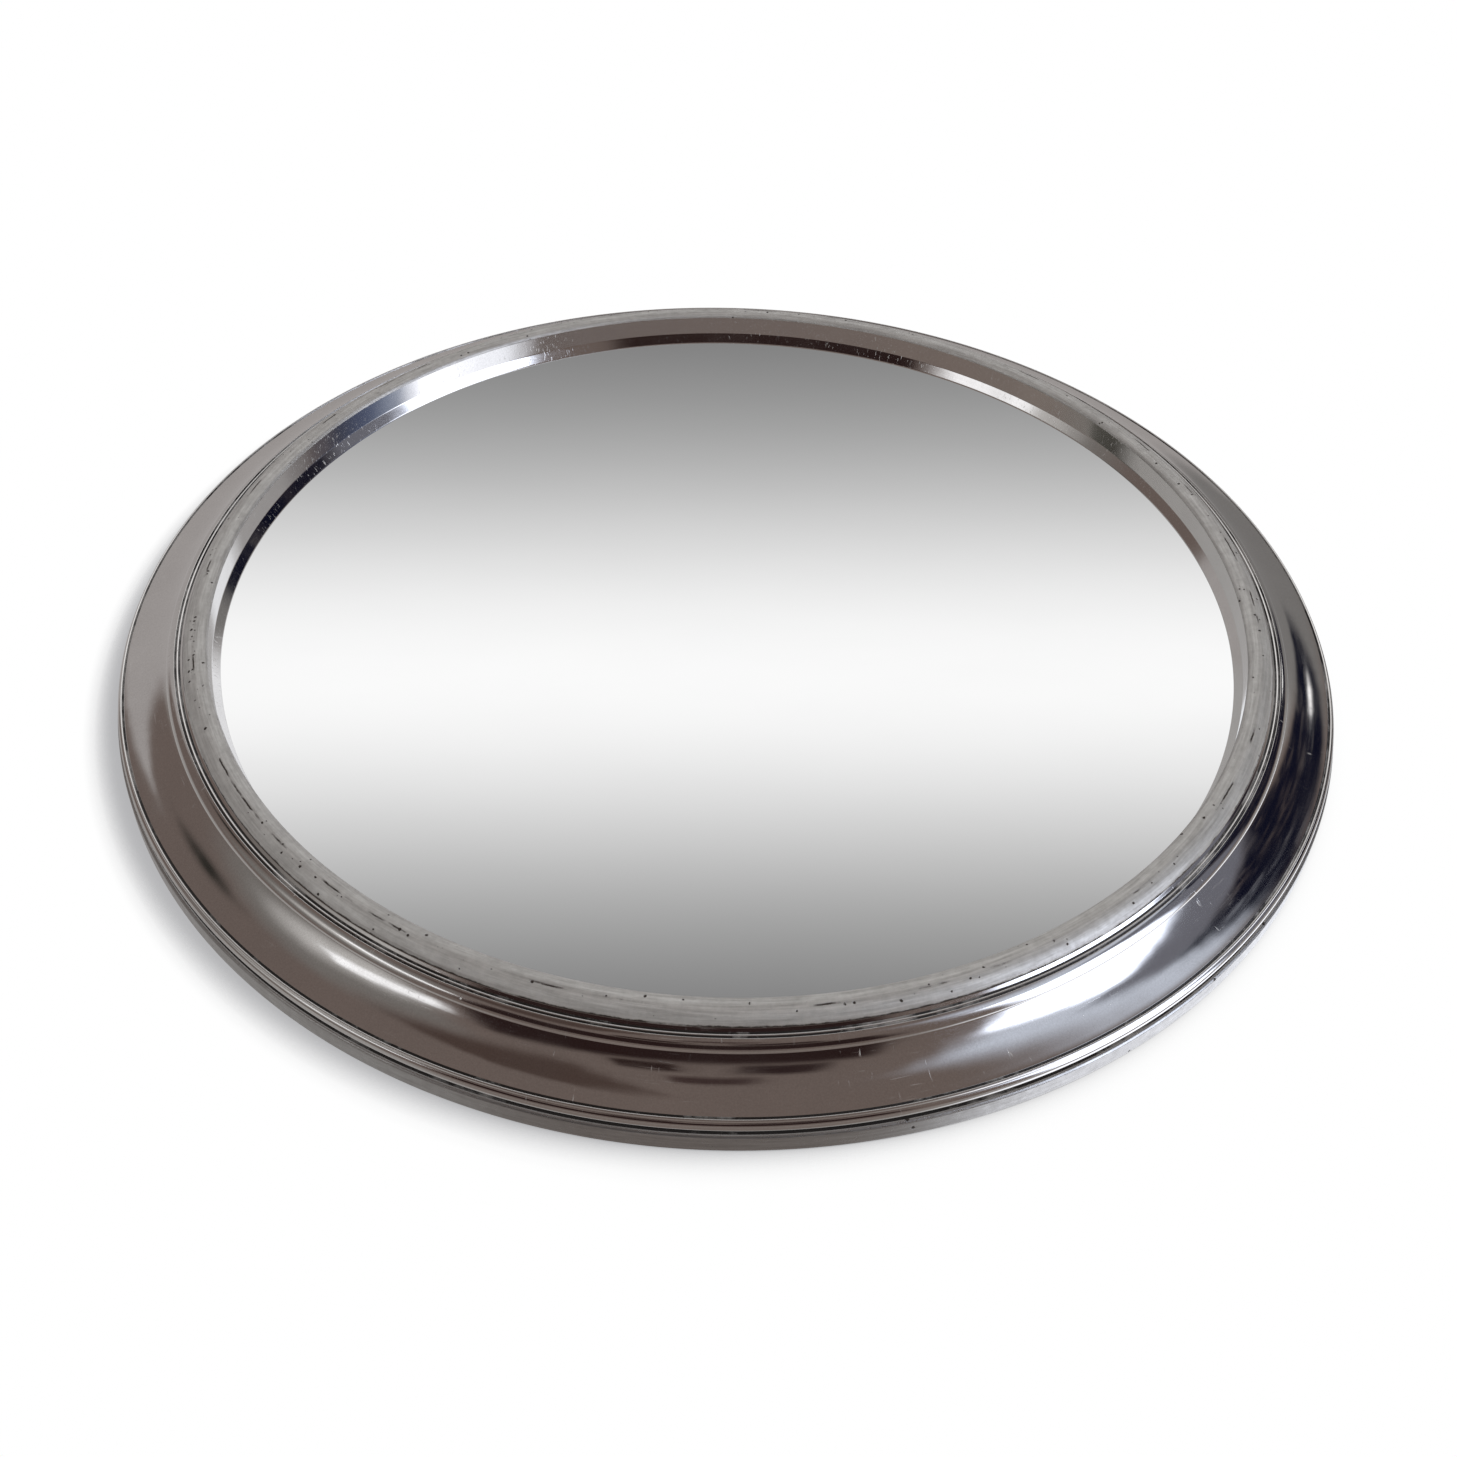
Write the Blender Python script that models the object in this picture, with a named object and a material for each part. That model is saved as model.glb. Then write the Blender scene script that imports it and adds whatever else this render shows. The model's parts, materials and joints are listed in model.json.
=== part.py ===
"""Round counter mirror: a turned aluminium frame, a plate glass mirror and a fold-out strut at the back.

It lies face up on its base rim, with the origin under its centre, +Z out of the glass and +Y to its top.
Everything stacks up from the surface it lies on, and spreads out from the glass. Sizes are in metres.
"""

import math

import bmesh
import bpy
from mathutils import Matrix, Vector

# Fits
GAP = 0.0003
SHANK_CLEARANCE = 0.0003
PIN_CLEARANCE = 0.00015
FLOOR_CLEARANCE = 0.0005

# Facets
FRAME_STEPS = 72
FASTENER_STEPS = 16
HINGE_STEPS = 20
CORNER_FACETS = 6
LAND_FACETS = 6
OVOLO_FACETS = 3
COVE_FACETS = 8
BEAD_FACETS = 6
HEAD_FACETS = 4
SHARP_DEG = 28.0

# Glass and the discs behind it
GLASS_RADIUS = 0.138
GLASS_THICKNESS = 0.003
GLASS_ARRIS = 0.0005
CARD_THICKNESS = 0.0005
BOARD_THICKNESS = 0.0025
BOARD_ARRIS = 0.0004

# Frame, from the glass outwards
LIP_OVERLAP = 0.0048
LIP_EDGE = 0.0004
BEVEL_RUN = 0.0018
BEVEL_RISE = 0.0024
WALL_RISE = 0.0065
WALL_BREAK = 0.0005
LAND_WIDTH = 0.0066
LAND_DROP = 0.0025
LAND_CROWN = 0.0013
SHOULDER_RUN = 0.0006
SHOULDER_DROP = 0.0006
QUIRK_WIDTH = 0.0005
QUIRK_DEPTH = 0.0006
QUIRK_FLAT = 0.0005
OVOLO_RUN = 0.0023
OVOLO_DROP = 0.0022
OVOLO_CROWN = 0.0003
COVE_LIP = 0.0004
COVE_RUN = 0.0116
COVE_HOLLOW = 0.0011

# Frame, from its foot upwards
RIM_HEIGHT = 0.0051
RIM_BREAK = 0.0004
RIM_STEP = 0.0014
GROOVE_DEPTH = 0.0006
GROOVE_HEIGHT = 0.0008
BEAD_HEIGHT = 0.0026
BEAD_CROWN = 0.0008
ASTRAGAL_WIDTH = 0.0005
ASTRAGAL_STEP = 0.0006
LEDGE_WIDTH = 0.0117

# Clips and their screws
CLIP_COUNT = 8
CLIP_WIDTH = 0.012
CLIP_THICKNESS = 0.001
CLIP_REACH = 0.009
CLIP_MARGIN = 0.0015
CLIP_NOSE = 0.0059
SCREW_RADIUS = 0.0014
SCREW_DEPTH = 0.006
SCREW_HEAD_RADIUS = 0.0028
SCREW_HEAD_HEIGHT = 0.0016
SCREW_HEAD_ROUND = 0.0005
SCREW_HEAD_CROWN = 0.0001
SLOT_WIDTH = 0.0008
SLOT_DEPTH = 0.0007
SLOT_TURN_DEG = 37.0

# Hinge
HINGE_Y = 0.030
PIN_RADIUS = 0.0009
PIN_HEAD_RADIUS = 0.0014
PIN_HEAD_LENGTH = 0.0006
KNUCKLE_RADIUS = 0.0017
LEAF_WIDTH = 0.036
LEAF_LENGTH = 0.024
LEAF_THICKNESS = 0.001
LEAF_CORNER = 0.004
STRUT_KNUCKLE_WIDTH = 0.0134
RIVET_INSET = 0.006
RIVET_RADIUS = 0.0012
RIVET_HEAD_RADIUS = 0.0024
RIVET_HEAD_HEIGHT = 0.0008
RIVET_HEAD_CROWN = 0.0003
RIVET_CLENCH_RADIUS = 0.0020
RIVET_CLENCH_HEIGHT = 0.0005

# Strut
STRUT_OPEN_DEG = 36.0
STRUT_ROOT_WIDTH = 0.040
STRUT_TIP_WIDTH = 0.024
STRUT_THICKNESS = 0.0012
STRUT_FLANGE = 0.0008
STRUT_FLANGE_WIDTH = 0.0016
STRUT_CORNER = 0.005
STRUT_TIP_CLEARANCE = 0.006
TOOTH_REACH = 0.0026
TOOTH_THICKNESS = 0.0009
TOOTH_SPARE_DEG = 2.0
TONGUE_WIDTH = 0.014
TONGUE_LENGTH = 0.009
SHOE_WALL = 0.0008
SHOE_SIDE = 0.004
SHOE_END = 0.003
SHOE_CORNER = 0.004

# Levels, up from the surface
HINGE_Z = FLOOR_CLEARANCE + KNUCKLE_RADIUS
BOARD_BOTTOM = HINGE_Z + KNUCKLE_RADIUS + GAP
BOARD_TOP = BOARD_BOTTOM + BOARD_THICKNESS
CARD_BOTTOM = BOARD_TOP + GAP
CARD_TOP = CARD_BOTTOM + CARD_THICKNESS
GLASS_BACK = CARD_TOP + GAP
GLASS_FRONT = GLASS_BACK + GLASS_THICKNESS
LIP_BOTTOM = GLASS_FRONT + GAP
WALL_FOOT = LIP_BOTTOM + LIP_EDGE + BEVEL_RISE
LAND_Z = WALL_FOOT + WALL_RISE
SHOULDER_Z = LAND_Z - LAND_DROP
QUIRK_Z = SHOULDER_Z - SHOULDER_DROP
COVE_HEAD_Z = QUIRK_Z - OVOLO_DROP
BEAD_BOTTOM = RIM_HEIGHT + GROOVE_HEIGHT
BEAD_TOP = BEAD_BOTTOM + BEAD_HEIGHT
ASTRAGAL_Z = BEAD_TOP + ASTRAGAL_STEP
CLIP_TOP = BOARD_BOTTOM - GAP
CLIP_BOTTOM = CLIP_TOP - CLIP_THICKNESS
LEAF_TOP = BOARD_BOTTOM - GAP
LEAF_BOTTOM = LEAF_TOP - LEAF_THICKNESS

# Radii, out from the glass
REBATE_RADIUS = GLASS_RADIUS + GAP
SIGHT_RADIUS = GLASS_RADIUS - LIP_OVERLAP
WALL_RADIUS = SIGHT_RADIUS + BEVEL_RUN
SHOULDER_RADIUS = WALL_RADIUS + LAND_WIDTH
QUIRK_RADIUS = SHOULDER_RADIUS + SHOULDER_RUN
OVOLO_RADIUS = QUIRK_RADIUS + 2 * QUIRK_WIDTH + QUIRK_FLAT
COVE_HEAD_RADIUS = OVOLO_RADIUS + OVOLO_RUN
COVE_FOOT_RADIUS = COVE_HEAD_RADIUS + COVE_RUN
BEAD_RADIUS = COVE_FOOT_RADIUS + QUIRK_WIDTH + ASTRAGAL_WIDTH
RIM_RADIUS = BEAD_RADIUS + RIM_STEP
FOOT_RADIUS = REBATE_RADIUS + LEDGE_WIDTH
CLIP_CIRCLE = (REBATE_RADIUS + FOOT_RADIUS) / 2

# Colours, roughness and metallic value of each finish
FINISHES = {
    "polished_aluminium": ((0.62, 0.61, 0.60), 0.16, 1.0),
    "silvered_glass": ((0.88, 0.89, 0.89), 0.02, 1.0),
    "grey_card": ((0.36, 0.33, 0.29), 0.95, 0.0),
    "hardboard": ((0.17, 0.10, 0.06), 0.75, 0.0),
    "zinc_steel": ((0.55, 0.56, 0.57), 0.35, 1.0),
    "black_rubber": ((0.02, 0.02, 0.02), 0.80, 0.0),
}


def clear_scene():
    for obj in list(bpy.data.objects):
        bpy.data.objects.remove(obj)


def make_finish(name):
    colour, roughness, metallic = FINISHES[name]
    finish = bpy.data.materials.new(name)
    finish.use_nodes = True
    shader = finish.node_tree.nodes["Principled BSDF"]
    shader.inputs["Base Color"].default_value = (*colour, 1.0)
    shader.inputs["Roughness"].default_value = roughness
    shader.inputs["Metallic"].default_value = metallic
    return finish


def arc(start, end, crown, count):
    """Points after start, up to end, of an arc that stands crown to the left of the line between them."""
    start, end = Vector(start), Vector(end)
    chord = end - start
    left = Vector((-chord.y, chord.x)).normalized()
    radius = chord.length_squared / (8 * crown) + crown / 2
    centre = (start + end) / 2 + left * (crown - radius)
    side = 1 if crown > 0 else -1
    sweep = -2 * side * math.atan2(chord.length / 2, side * (radius - crown))
    spoke = start - centre
    return [centre + Matrix.Rotation(sweep * i / count, 2) @ spoke for i in range(1, count + 1)]


def new_object(name, mesh):
    obj = bpy.data.objects.new(name, mesh)
    bpy.context.scene.collection.objects.link(obj)
    return obj


def settle(obj):
    """Turns the object's modifiers into plain mesh, shaded smooth between its sharp edges."""
    bpy.context.view_layer.update()
    graph = bpy.context.evaluated_depsgraph_get()
    mesh = bpy.data.meshes.new_from_object(obj.evaluated_get(graph))
    mesh.name = obj.name
    obj.modifiers.clear()
    obj.data = mesh
    mesh.shade_smooth()
    mesh.set_sharp_from_angle(angle=math.radians(SHARP_DEG))
    return obj


def turned(name, profile, steps, closed=False):
    """A solid turned about Z from (radius, height) points, running down its outer side."""
    mesh = bpy.data.meshes.new(name)
    count = len(profile)
    edges = [(i, i + 1) for i in range(count - 1)]
    if closed:
        edges.append((count - 1, 0))
    mesh.from_pydata([(radius, 0, height) for radius, height in profile], edges, [])
    obj = new_object(name, mesh)
    screw = obj.modifiers.new("turn", "SCREW")
    screw.steps = screw.render_steps = steps
    screw.use_merge_vertices = True
    screw.merge_threshold = 0.00001
    return settle(obj)


def disc(name, radius, bottom, top, arris, steps):
    profile = [
        (0, top),
        (radius - arris, top),
        (radius, top - arris),
        (radius, bottom + arris),
        (radius - arris, bottom),
        (0, bottom),
    ]
    return turned(name, profile, steps)


def rod(name, radius, bottom, top, steps):
    return turned(name, [(0, top), (radius, top), (radius, bottom), (0, bottom)], steps)


def bore(radius, bottom, top, x, y):
    """A cutter for a round hole through a plate, at this x and y."""
    return shift(rod("bore", radius, bottom, top, FASTENER_STEPS), Matrix.Translation((x, y, 0)))


def oblong(left, near, right, far):
    return [(left, near), (right, near), (right, far), (left, far)]


def plate(name, outline, bottom, top):
    """A flat plate with this outline, a list of (x, y) points that runs anticlockwise."""
    mesh = bpy.data.meshes.new(name)
    form = bmesh.new()
    face = form.faces.new([form.verts.new((x, y, bottom)) for x, y in outline])
    raised = bmesh.ops.extrude_face_region(form, geom=[face])["geom"]
    corners = [item for item in raised if isinstance(item, bmesh.types.BMVert)]
    bmesh.ops.translate(form, verts=corners, vec=(0, 0, top - bottom))
    bmesh.ops.recalc_face_normals(form, faces=form.faces)
    form.to_mesh(mesh)
    form.free()
    return new_object(name, mesh)


def rounded(corners, radii):
    """The outline through these (x, y) corners, each rounded to its radius."""
    points = []
    for i, corner in enumerate(corners):
        here = Vector(corner)
        back = (Vector(corners[i - 1]) - here).normalized()
        ahead = (Vector(corners[(i + 1) % len(corners)]) - here).normalized()
        if radii[i] <= 0:
            points.append(here)
            continue
        half = back.angle(ahead) / 2
        reach = radii[i] / math.tan(half)
        centre = here + (back + ahead).normalized() * radii[i] / math.sin(half)
        spoke = here + back * reach - centre
        turn = math.pi - 2 * half
        for k in range(CORNER_FACETS + 1):
            points.append(centre + Matrix.Rotation(turn * k / CORNER_FACETS, 2) @ spoke)
    return points


def cut(obj, *cutters):
    """Takes the cutters away from the object, and removes them."""
    combine(obj, "DIFFERENCE", cutters)


def join(obj, *pieces):
    """Joins the pieces to the object as one body, and removes them."""
    combine(obj, "UNION", pieces)


def combine(obj, operation, others):
    for other in others:
        boolean = obj.modifiers.new(operation.lower(), "BOOLEAN")
        boolean.operation = operation
        boolean.solver = "EXACT"
        boolean.object = other
    settle(obj)
    for other in others:
        bpy.data.objects.remove(other)


def shift(obj, matrix):
    obj.data.transform(matrix)
    return obj


def dress(obj, finish):
    obj.data.materials.clear()
    obj.data.materials.append(finish)
    return obj


def along_x(obj, y, z):
    """Lays a piece that was turned about Z along X, on the line at this y and z."""
    return shift(obj, Matrix.Translation((0, y, z)) @ Matrix.Rotation(math.pi / 2, 4, "Y"))


def clip_places():
    """Turns about Z that bring a clip made at +X to its place, clear of the strut's path along Y."""
    step = 2 * math.pi / CLIP_COUNT
    return [Matrix.Rotation(step * (i + 0.5), 4, "Z") for i in range(CLIP_COUNT)]


def frame_profile():
    """The moulding's section: up the inner wall, over the front, down the outside and back underneath."""
    half_quirk = QUIRK_WIDTH / 2
    second_quirk = QUIRK_RADIUS + QUIRK_WIDTH + QUIRK_FLAT
    land_start = (WALL_RADIUS + WALL_BREAK, LAND_Z)
    shoulder = (SHOULDER_RADIUS, SHOULDER_Z)
    ovolo_end = (COVE_HEAD_RADIUS, COVE_HEAD_Z + COVE_LIP)
    cove_head = (COVE_HEAD_RADIUS, COVE_HEAD_Z)
    cove_foot = (COVE_FOOT_RADIUS, ASTRAGAL_Z)
    bead_top = (BEAD_RADIUS, BEAD_TOP)
    bead_bottom = (BEAD_RADIUS, BEAD_BOTTOM)
    points = [
        (SIGHT_RADIUS, LIP_BOTTOM),
        (SIGHT_RADIUS, LIP_BOTTOM + LIP_EDGE),
        (WALL_RADIUS, WALL_FOOT),
        (WALL_RADIUS, LAND_Z - WALL_BREAK),
        land_start,
    ]
    points += arc(land_start, shoulder, LAND_CROWN, LAND_FACETS)
    for start in (QUIRK_RADIUS, second_quirk):
        points += [
            (start, QUIRK_Z),
            (start + half_quirk, QUIRK_Z - QUIRK_DEPTH),
            (start + QUIRK_WIDTH, QUIRK_Z),
        ]
    points += arc(points[-1], ovolo_end, OVOLO_CROWN, OVOLO_FACETS)
    points.append(cove_head)
    points += arc(cove_head, cove_foot, -COVE_HOLLOW, COVE_FACETS)
    points += [
        (COVE_FOOT_RADIUS + half_quirk, ASTRAGAL_Z - QUIRK_DEPTH),
        (COVE_FOOT_RADIUS + QUIRK_WIDTH, ASTRAGAL_Z),
        (BEAD_RADIUS, ASTRAGAL_Z),
        bead_top,
    ]
    points += arc(bead_top, bead_bottom, BEAD_CROWN, BEAD_FACETS)
    points += [
        (BEAD_RADIUS - GROOVE_DEPTH, BEAD_BOTTOM),
        (BEAD_RADIUS - GROOVE_DEPTH, RIM_HEIGHT),
        (RIM_RADIUS - RIM_BREAK, RIM_HEIGHT),
        (RIM_RADIUS, RIM_HEIGHT - RIM_BREAK),
        (RIM_RADIUS, RIM_BREAK),
        (RIM_RADIUS - RIM_BREAK, 0),
        (FOOT_RADIUS + RIM_BREAK, 0),
        (FOOT_RADIUS, RIM_BREAK),
        (FOOT_RADIUS, BOARD_BOTTOM),
        (REBATE_RADIUS, BOARD_BOTTOM),
        (REBATE_RADIUS, LIP_BOTTOM),
    ]
    return points


def make_frame(finish):
    ring = turned("frame_ring", frame_profile(), FRAME_STEPS, closed=True)
    hole_top = BOARD_BOTTOM + SCREW_DEPTH + SHANK_CLEARANCE
    holes = []
    for place in clip_places():
        hole = bore(SCREW_RADIUS + SHANK_CLEARANCE, BOARD_BOTTOM - GAP, hole_top, CLIP_CIRCLE, 0)
        holes.append(shift(hole, place))
    cut(ring, *holes)
    return dress(ring, finish)


def rivet_places():
    near = HINGE_Y + RIVET_INSET
    far = HINGE_Y + LEAF_LENGTH - RIVET_INSET
    side = LEAF_WIDTH / 2 - RIVET_INSET
    return [(x, y) for y in (near, far) for x in (-side, side)]


def make_discs(finishes):
    glass = disc("mirror_glass", GLASS_RADIUS, GLASS_BACK, GLASS_FRONT, GLASS_ARRIS, FRAME_STEPS)
    dress(glass, finishes["silvered_glass"])
    card = rod("card_packing", GLASS_RADIUS, CARD_BOTTOM, CARD_TOP, FRAME_STEPS)
    dress(card, finishes["grey_card"])
    board = disc("backing_board", GLASS_RADIUS, BOARD_BOTTOM, BOARD_TOP, BOARD_ARRIS, FRAME_STEPS)
    hole_radius = RIVET_RADIUS + SHANK_CLEARANCE
    seat_radius = RIVET_CLENCH_RADIUS + SHANK_CLEARANCE
    seat = BOARD_TOP - RIVET_CLENCH_HEIGHT - GAP
    profile = [
        (0, CARD_BOTTOM),
        (seat_radius, CARD_BOTTOM),
        (seat_radius, seat),
        (hole_radius, seat),
        (hole_radius, LEAF_TOP),
        (0, LEAF_TOP),
    ]
    holes = []
    for x, y in rivet_places():
        hole = turned("rivet_hole", profile, FASTENER_STEPS)
        holes.append(shift(hole, Matrix.Translation((x, y, 0))))
    cut(board, *holes)
    dress(board, finishes["hardboard"])


def make_screw(name, finish):
    """A slotted pan head screw at the origin, head down, with the underside of its head at z 0."""
    length = GAP + CLIP_THICKNESS + GAP + SCREW_DEPTH
    head = (SCREW_HEAD_RADIUS, SCREW_HEAD_ROUND - SCREW_HEAD_HEIGHT)
    crown = (SCREW_HEAD_RADIUS - SCREW_HEAD_ROUND, -SCREW_HEAD_HEIGHT)
    profile = [
        (0, length),
        (SCREW_RADIUS / 2, length),
        (SCREW_RADIUS, length - SCREW_RADIUS / 2),
        (SCREW_RADIUS, 0),
        (SCREW_HEAD_RADIUS, 0),
        head,
    ]
    profile += [*arc(head, crown, SCREW_HEAD_CROWN, HEAD_FACETS), (0, -SCREW_HEAD_HEIGHT)]
    screw = turned(name, profile, FASTENER_STEPS)
    long_side = SCREW_HEAD_RADIUS + SLOT_WIDTH
    slot = plate(
        "slot",
        oblong(-long_side, -SLOT_WIDTH / 2, long_side, SLOT_WIDTH / 2),
        -SCREW_HEAD_HEIGHT - SLOT_DEPTH,
        -SCREW_HEAD_HEIGHT + SLOT_DEPTH,
    )
    cut(screw, slot)
    return dress(screw, finish)


def make_clips(finish):
    inner = REBATE_RADIUS - CLIP_REACH
    outer = FOOT_RADIUS - CLIP_MARGIN
    half = CLIP_WIDTH / 2
    radii = [CLIP_NOSE, CLIP_MARGIN, CLIP_MARGIN, CLIP_NOSE]
    outline = rounded(oblong(inner, -half, outer, half), radii)
    head_z = CLIP_BOTTOM - GAP
    for i, place in enumerate(clip_places(), 1):
        clip = plate(f"retaining_clip_{i}", outline, CLIP_BOTTOM, CLIP_TOP)
        cut(clip, bore(SCREW_RADIUS + SHANK_CLEARANCE, CLIP_BOTTOM - GAP, CLIP_TOP + GAP, CLIP_CIRCLE, 0))
        dress(shift(clip, place), finish)
        screw = make_screw(f"clip_screw_{i}", finish)
        # Each slot stops at its own angle, as screws driven home by hand do.
        turn = Matrix.Rotation(math.radians(SLOT_TURN_DEG * i), 4, "Z")
        shift(screw, place @ Matrix.Translation((CLIP_CIRCLE, 0, head_z)) @ turn)


def knuckle(name, radius, low, high):
    """A round bar on the hinge's axis, from x low to x high."""
    return along_x(rod(name, radius, low, high, HINGE_STEPS), HINGE_Y, HINGE_Z)


def make_hinge(finish):
    half = LEAF_WIDTH / 2
    edge = HINGE_Y + KNUCKLE_RADIUS + GAP
    far = HINGE_Y + LEAF_LENGTH
    window = STRUT_KNUCKLE_WIDTH / 2 + GAP
    outline = rounded(
        [(-half, HINGE_Y), (-window, HINGE_Y), (-window, edge), (window, edge),
         (window, HINGE_Y), (half, HINGE_Y), (half, far), (-half, far)],
        [0, 0, 0, 0, 0, 0, LEAF_CORNER, LEAF_CORNER],
    )
    leaf = plate("hinge_leaf", outline, LEAF_BOTTOM, LEAF_TOP)
    left_roll = knuckle("left_roll", KNUCKLE_RADIUS, -half, -window)
    right_roll = knuckle("right_roll", KNUCKLE_RADIUS, window, half)
    join(leaf, left_roll, right_roll)
    holes = [knuckle("pin_bore", PIN_RADIUS + PIN_CLEARANCE, -half - GAP, half + GAP)]
    for x, y in rivet_places():
        holes.append(bore(RIVET_RADIUS + SHANK_CLEARANCE, LEAF_BOTTOM - GAP, LEAF_TOP + GAP, x, y))
    cut(leaf, *holes)
    dress(leaf, finish)

    end = half + GAP
    profile = [
        (0, end + PIN_HEAD_LENGTH),
        (PIN_HEAD_RADIUS, end + PIN_HEAD_LENGTH),
        (PIN_HEAD_RADIUS, end),
        (PIN_RADIUS, end),
        (PIN_RADIUS, -end),
        (PIN_HEAD_RADIUS, -end),
        (PIN_HEAD_RADIUS, -end - PIN_HEAD_LENGTH),
        (0, -end - PIN_HEAD_LENGTH),
    ]
    pin = along_x(turned("hinge_pin", profile, HINGE_STEPS), HINGE_Y, HINGE_Z)
    dress(pin, finish)

    head = LEAF_BOTTOM - GAP
    rim = (RIVET_HEAD_RADIUS, head)
    rivet_profile = [
        (0, BOARD_TOP),
        (RIVET_CLENCH_RADIUS, BOARD_TOP),
        (RIVET_CLENCH_RADIUS, BOARD_TOP - RIVET_CLENCH_HEIGHT),
        (RIVET_RADIUS, BOARD_TOP - RIVET_CLENCH_HEIGHT),
        (RIVET_RADIUS, head),
        rim,
    ]
    rivet_profile += arc(rim, (0, head - RIVET_HEAD_HEIGHT), RIVET_HEAD_CROWN, HEAD_FACETS)
    for i, (x, y) in enumerate(rivet_places(), 1):
        rivet = turned(f"hinge_rivet_{i}", rivet_profile, FASTENER_STEPS)
        dress(shift(rivet, Matrix.Translation((x, y, 0))), finish)


def make_strut(steel, rubber):
    top = HINGE_Z + STRUT_THICKNESS / 2
    bottom = HINGE_Z - STRUT_THICKNESS / 2
    root = HINGE_Y - KNUCKLE_RADIUS - GAP
    shoe_end = -(FOOT_RADIUS - STRUT_TIP_CLEARANCE)
    tongue_end = shoe_end + SHOE_END + GAP
    tip = tongue_end + TONGUE_LENGTH
    root_half = STRUT_ROOT_WIDTH / 2
    tip_half = STRUT_TIP_WIDTH / 2
    tongue_half = TONGUE_WIDTH / 2
    neck_half = STRUT_KNUCKLE_WIDTH / 2

    # Pressed leg: a tapered tray whose turned-down edge stiffens it.
    outline = rounded(
        [(-tip_half, tip), (tip_half, tip), (root_half, root), (-root_half, root)],
        [STRUT_CORNER] * 4,
    )
    strut = plate("strut", outline, bottom - STRUT_FLANGE, top)
    form = bmesh.new()
    form.from_mesh(strut.data)
    form.faces.ensure_lookup_table()
    underside = min(form.faces, key=lambda face: face.calc_center_median().z)
    bmesh.ops.inset_region(form, faces=[underside], thickness=STRUT_FLANGE_WIDTH, use_even_offset=True)
    bmesh.ops.translate(form, verts=underside.verts, vec=(0, 0, STRUT_FLANGE))
    form.to_mesh(strut.data)
    form.free()

    neck_outline = oblong(-neck_half, root - STRUT_FLANGE_WIDTH, neck_half, HINGE_Y)
    neck = plate("neck", neck_outline, bottom, top)
    tongue_outline = oblong(-tongue_half, tongue_end, tongue_half, tip + STRUT_FLANGE_WIDTH)
    tongue = plate("tongue", tongue_outline, bottom, top)
    # The tooth meets the leaf's edge and stops the strut just past its open angle.
    tooth_outline = oblong(-neck_half / 2, 0, neck_half / 2, TOOTH_REACH)
    tooth = plate("tooth", tooth_outline, -TOOTH_THICKNESS / 2, TOOTH_THICKNESS / 2)
    lean = Matrix.Rotation(math.radians(TOOTH_SPARE_DEG - STRUT_OPEN_DEG), 4, "X")
    shift(tooth, Matrix.Translation((0, HINGE_Y, HINGE_Z)) @ lean)
    join(strut, neck, tongue, tooth, knuckle("roll", KNUCKLE_RADIUS, -neck_half, neck_half))
    cut(strut, knuckle("pin_bore", PIN_RADIUS + PIN_CLEARANCE, -neck_half - GAP, neck_half + GAP))
    dress(strut, steel)

    # Rubber shoe with a pocket that the tongue pushes into.
    shoe_half = tongue_half + GAP + SHOE_SIDE
    shoe_start = tip - GAP
    shoe_outline = rounded(
        oblong(-shoe_half, shoe_end, shoe_half, shoe_start),
        [SHOE_CORNER, SHOE_CORNER, 0, 0],
    )
    shoe = plate("strut_shoe", shoe_outline, bottom - GAP - SHOE_WALL, top + GAP + SHOE_WALL)
    pocket_half = tongue_half + GAP
    pocket_outline = oblong(-pocket_half, tongue_end - GAP, pocket_half, tip)
    cut(shoe, plate("pocket", pocket_outline, bottom - GAP, top + GAP))
    dress(shoe, rubber)

    axis = bpy.data.objects.new("strut_hinge", None)
    axis.location = (0, HINGE_Y, HINGE_Z)
    bpy.context.scene.collection.objects.link(axis)
    for piece in (strut, shoe):
        shift(piece, Matrix.Translation(-axis.location))
        piece.parent = axis


def main():
    clear_scene()
    finishes = {name: make_finish(name) for name in FINISHES}
    make_frame(finishes["polished_aluminium"])
    make_discs(finishes)
    make_clips(finishes["zinc_steel"])
    make_hinge(finishes["zinc_steel"])
    make_strut(finishes["zinc_steel"], finishes["black_rubber"])


main()
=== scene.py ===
import json
import math

import bmesh
import bpy
import numpy as np
from mathutils import Matrix, Vector

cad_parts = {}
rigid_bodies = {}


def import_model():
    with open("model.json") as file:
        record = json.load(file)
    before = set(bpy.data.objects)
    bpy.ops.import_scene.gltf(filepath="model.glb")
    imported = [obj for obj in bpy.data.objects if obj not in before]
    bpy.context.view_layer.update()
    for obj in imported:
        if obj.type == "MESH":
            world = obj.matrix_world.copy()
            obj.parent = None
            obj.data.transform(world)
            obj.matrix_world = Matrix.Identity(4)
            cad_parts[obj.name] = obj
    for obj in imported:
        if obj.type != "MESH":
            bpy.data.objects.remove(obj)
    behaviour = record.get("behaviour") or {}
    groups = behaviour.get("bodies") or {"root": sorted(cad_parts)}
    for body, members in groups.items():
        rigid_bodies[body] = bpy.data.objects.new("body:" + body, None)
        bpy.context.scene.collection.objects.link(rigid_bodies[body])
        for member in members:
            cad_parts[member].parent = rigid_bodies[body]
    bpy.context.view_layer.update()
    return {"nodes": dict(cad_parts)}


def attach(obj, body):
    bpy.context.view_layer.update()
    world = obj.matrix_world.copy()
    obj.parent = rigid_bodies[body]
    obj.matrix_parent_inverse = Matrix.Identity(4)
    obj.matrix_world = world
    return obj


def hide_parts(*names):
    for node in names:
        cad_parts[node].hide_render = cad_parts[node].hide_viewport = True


for leftover in list(bpy.data.objects):
    bpy.data.objects.remove(leftover)
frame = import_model()
cadNodes = frame["nodes"]
scene = bpy.context.scene
scene.view_settings.view_transform = "Standard"
mm = 0.001
print("frame loaded with", len(cadNodes), "nodes")


# Small helpers

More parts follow.
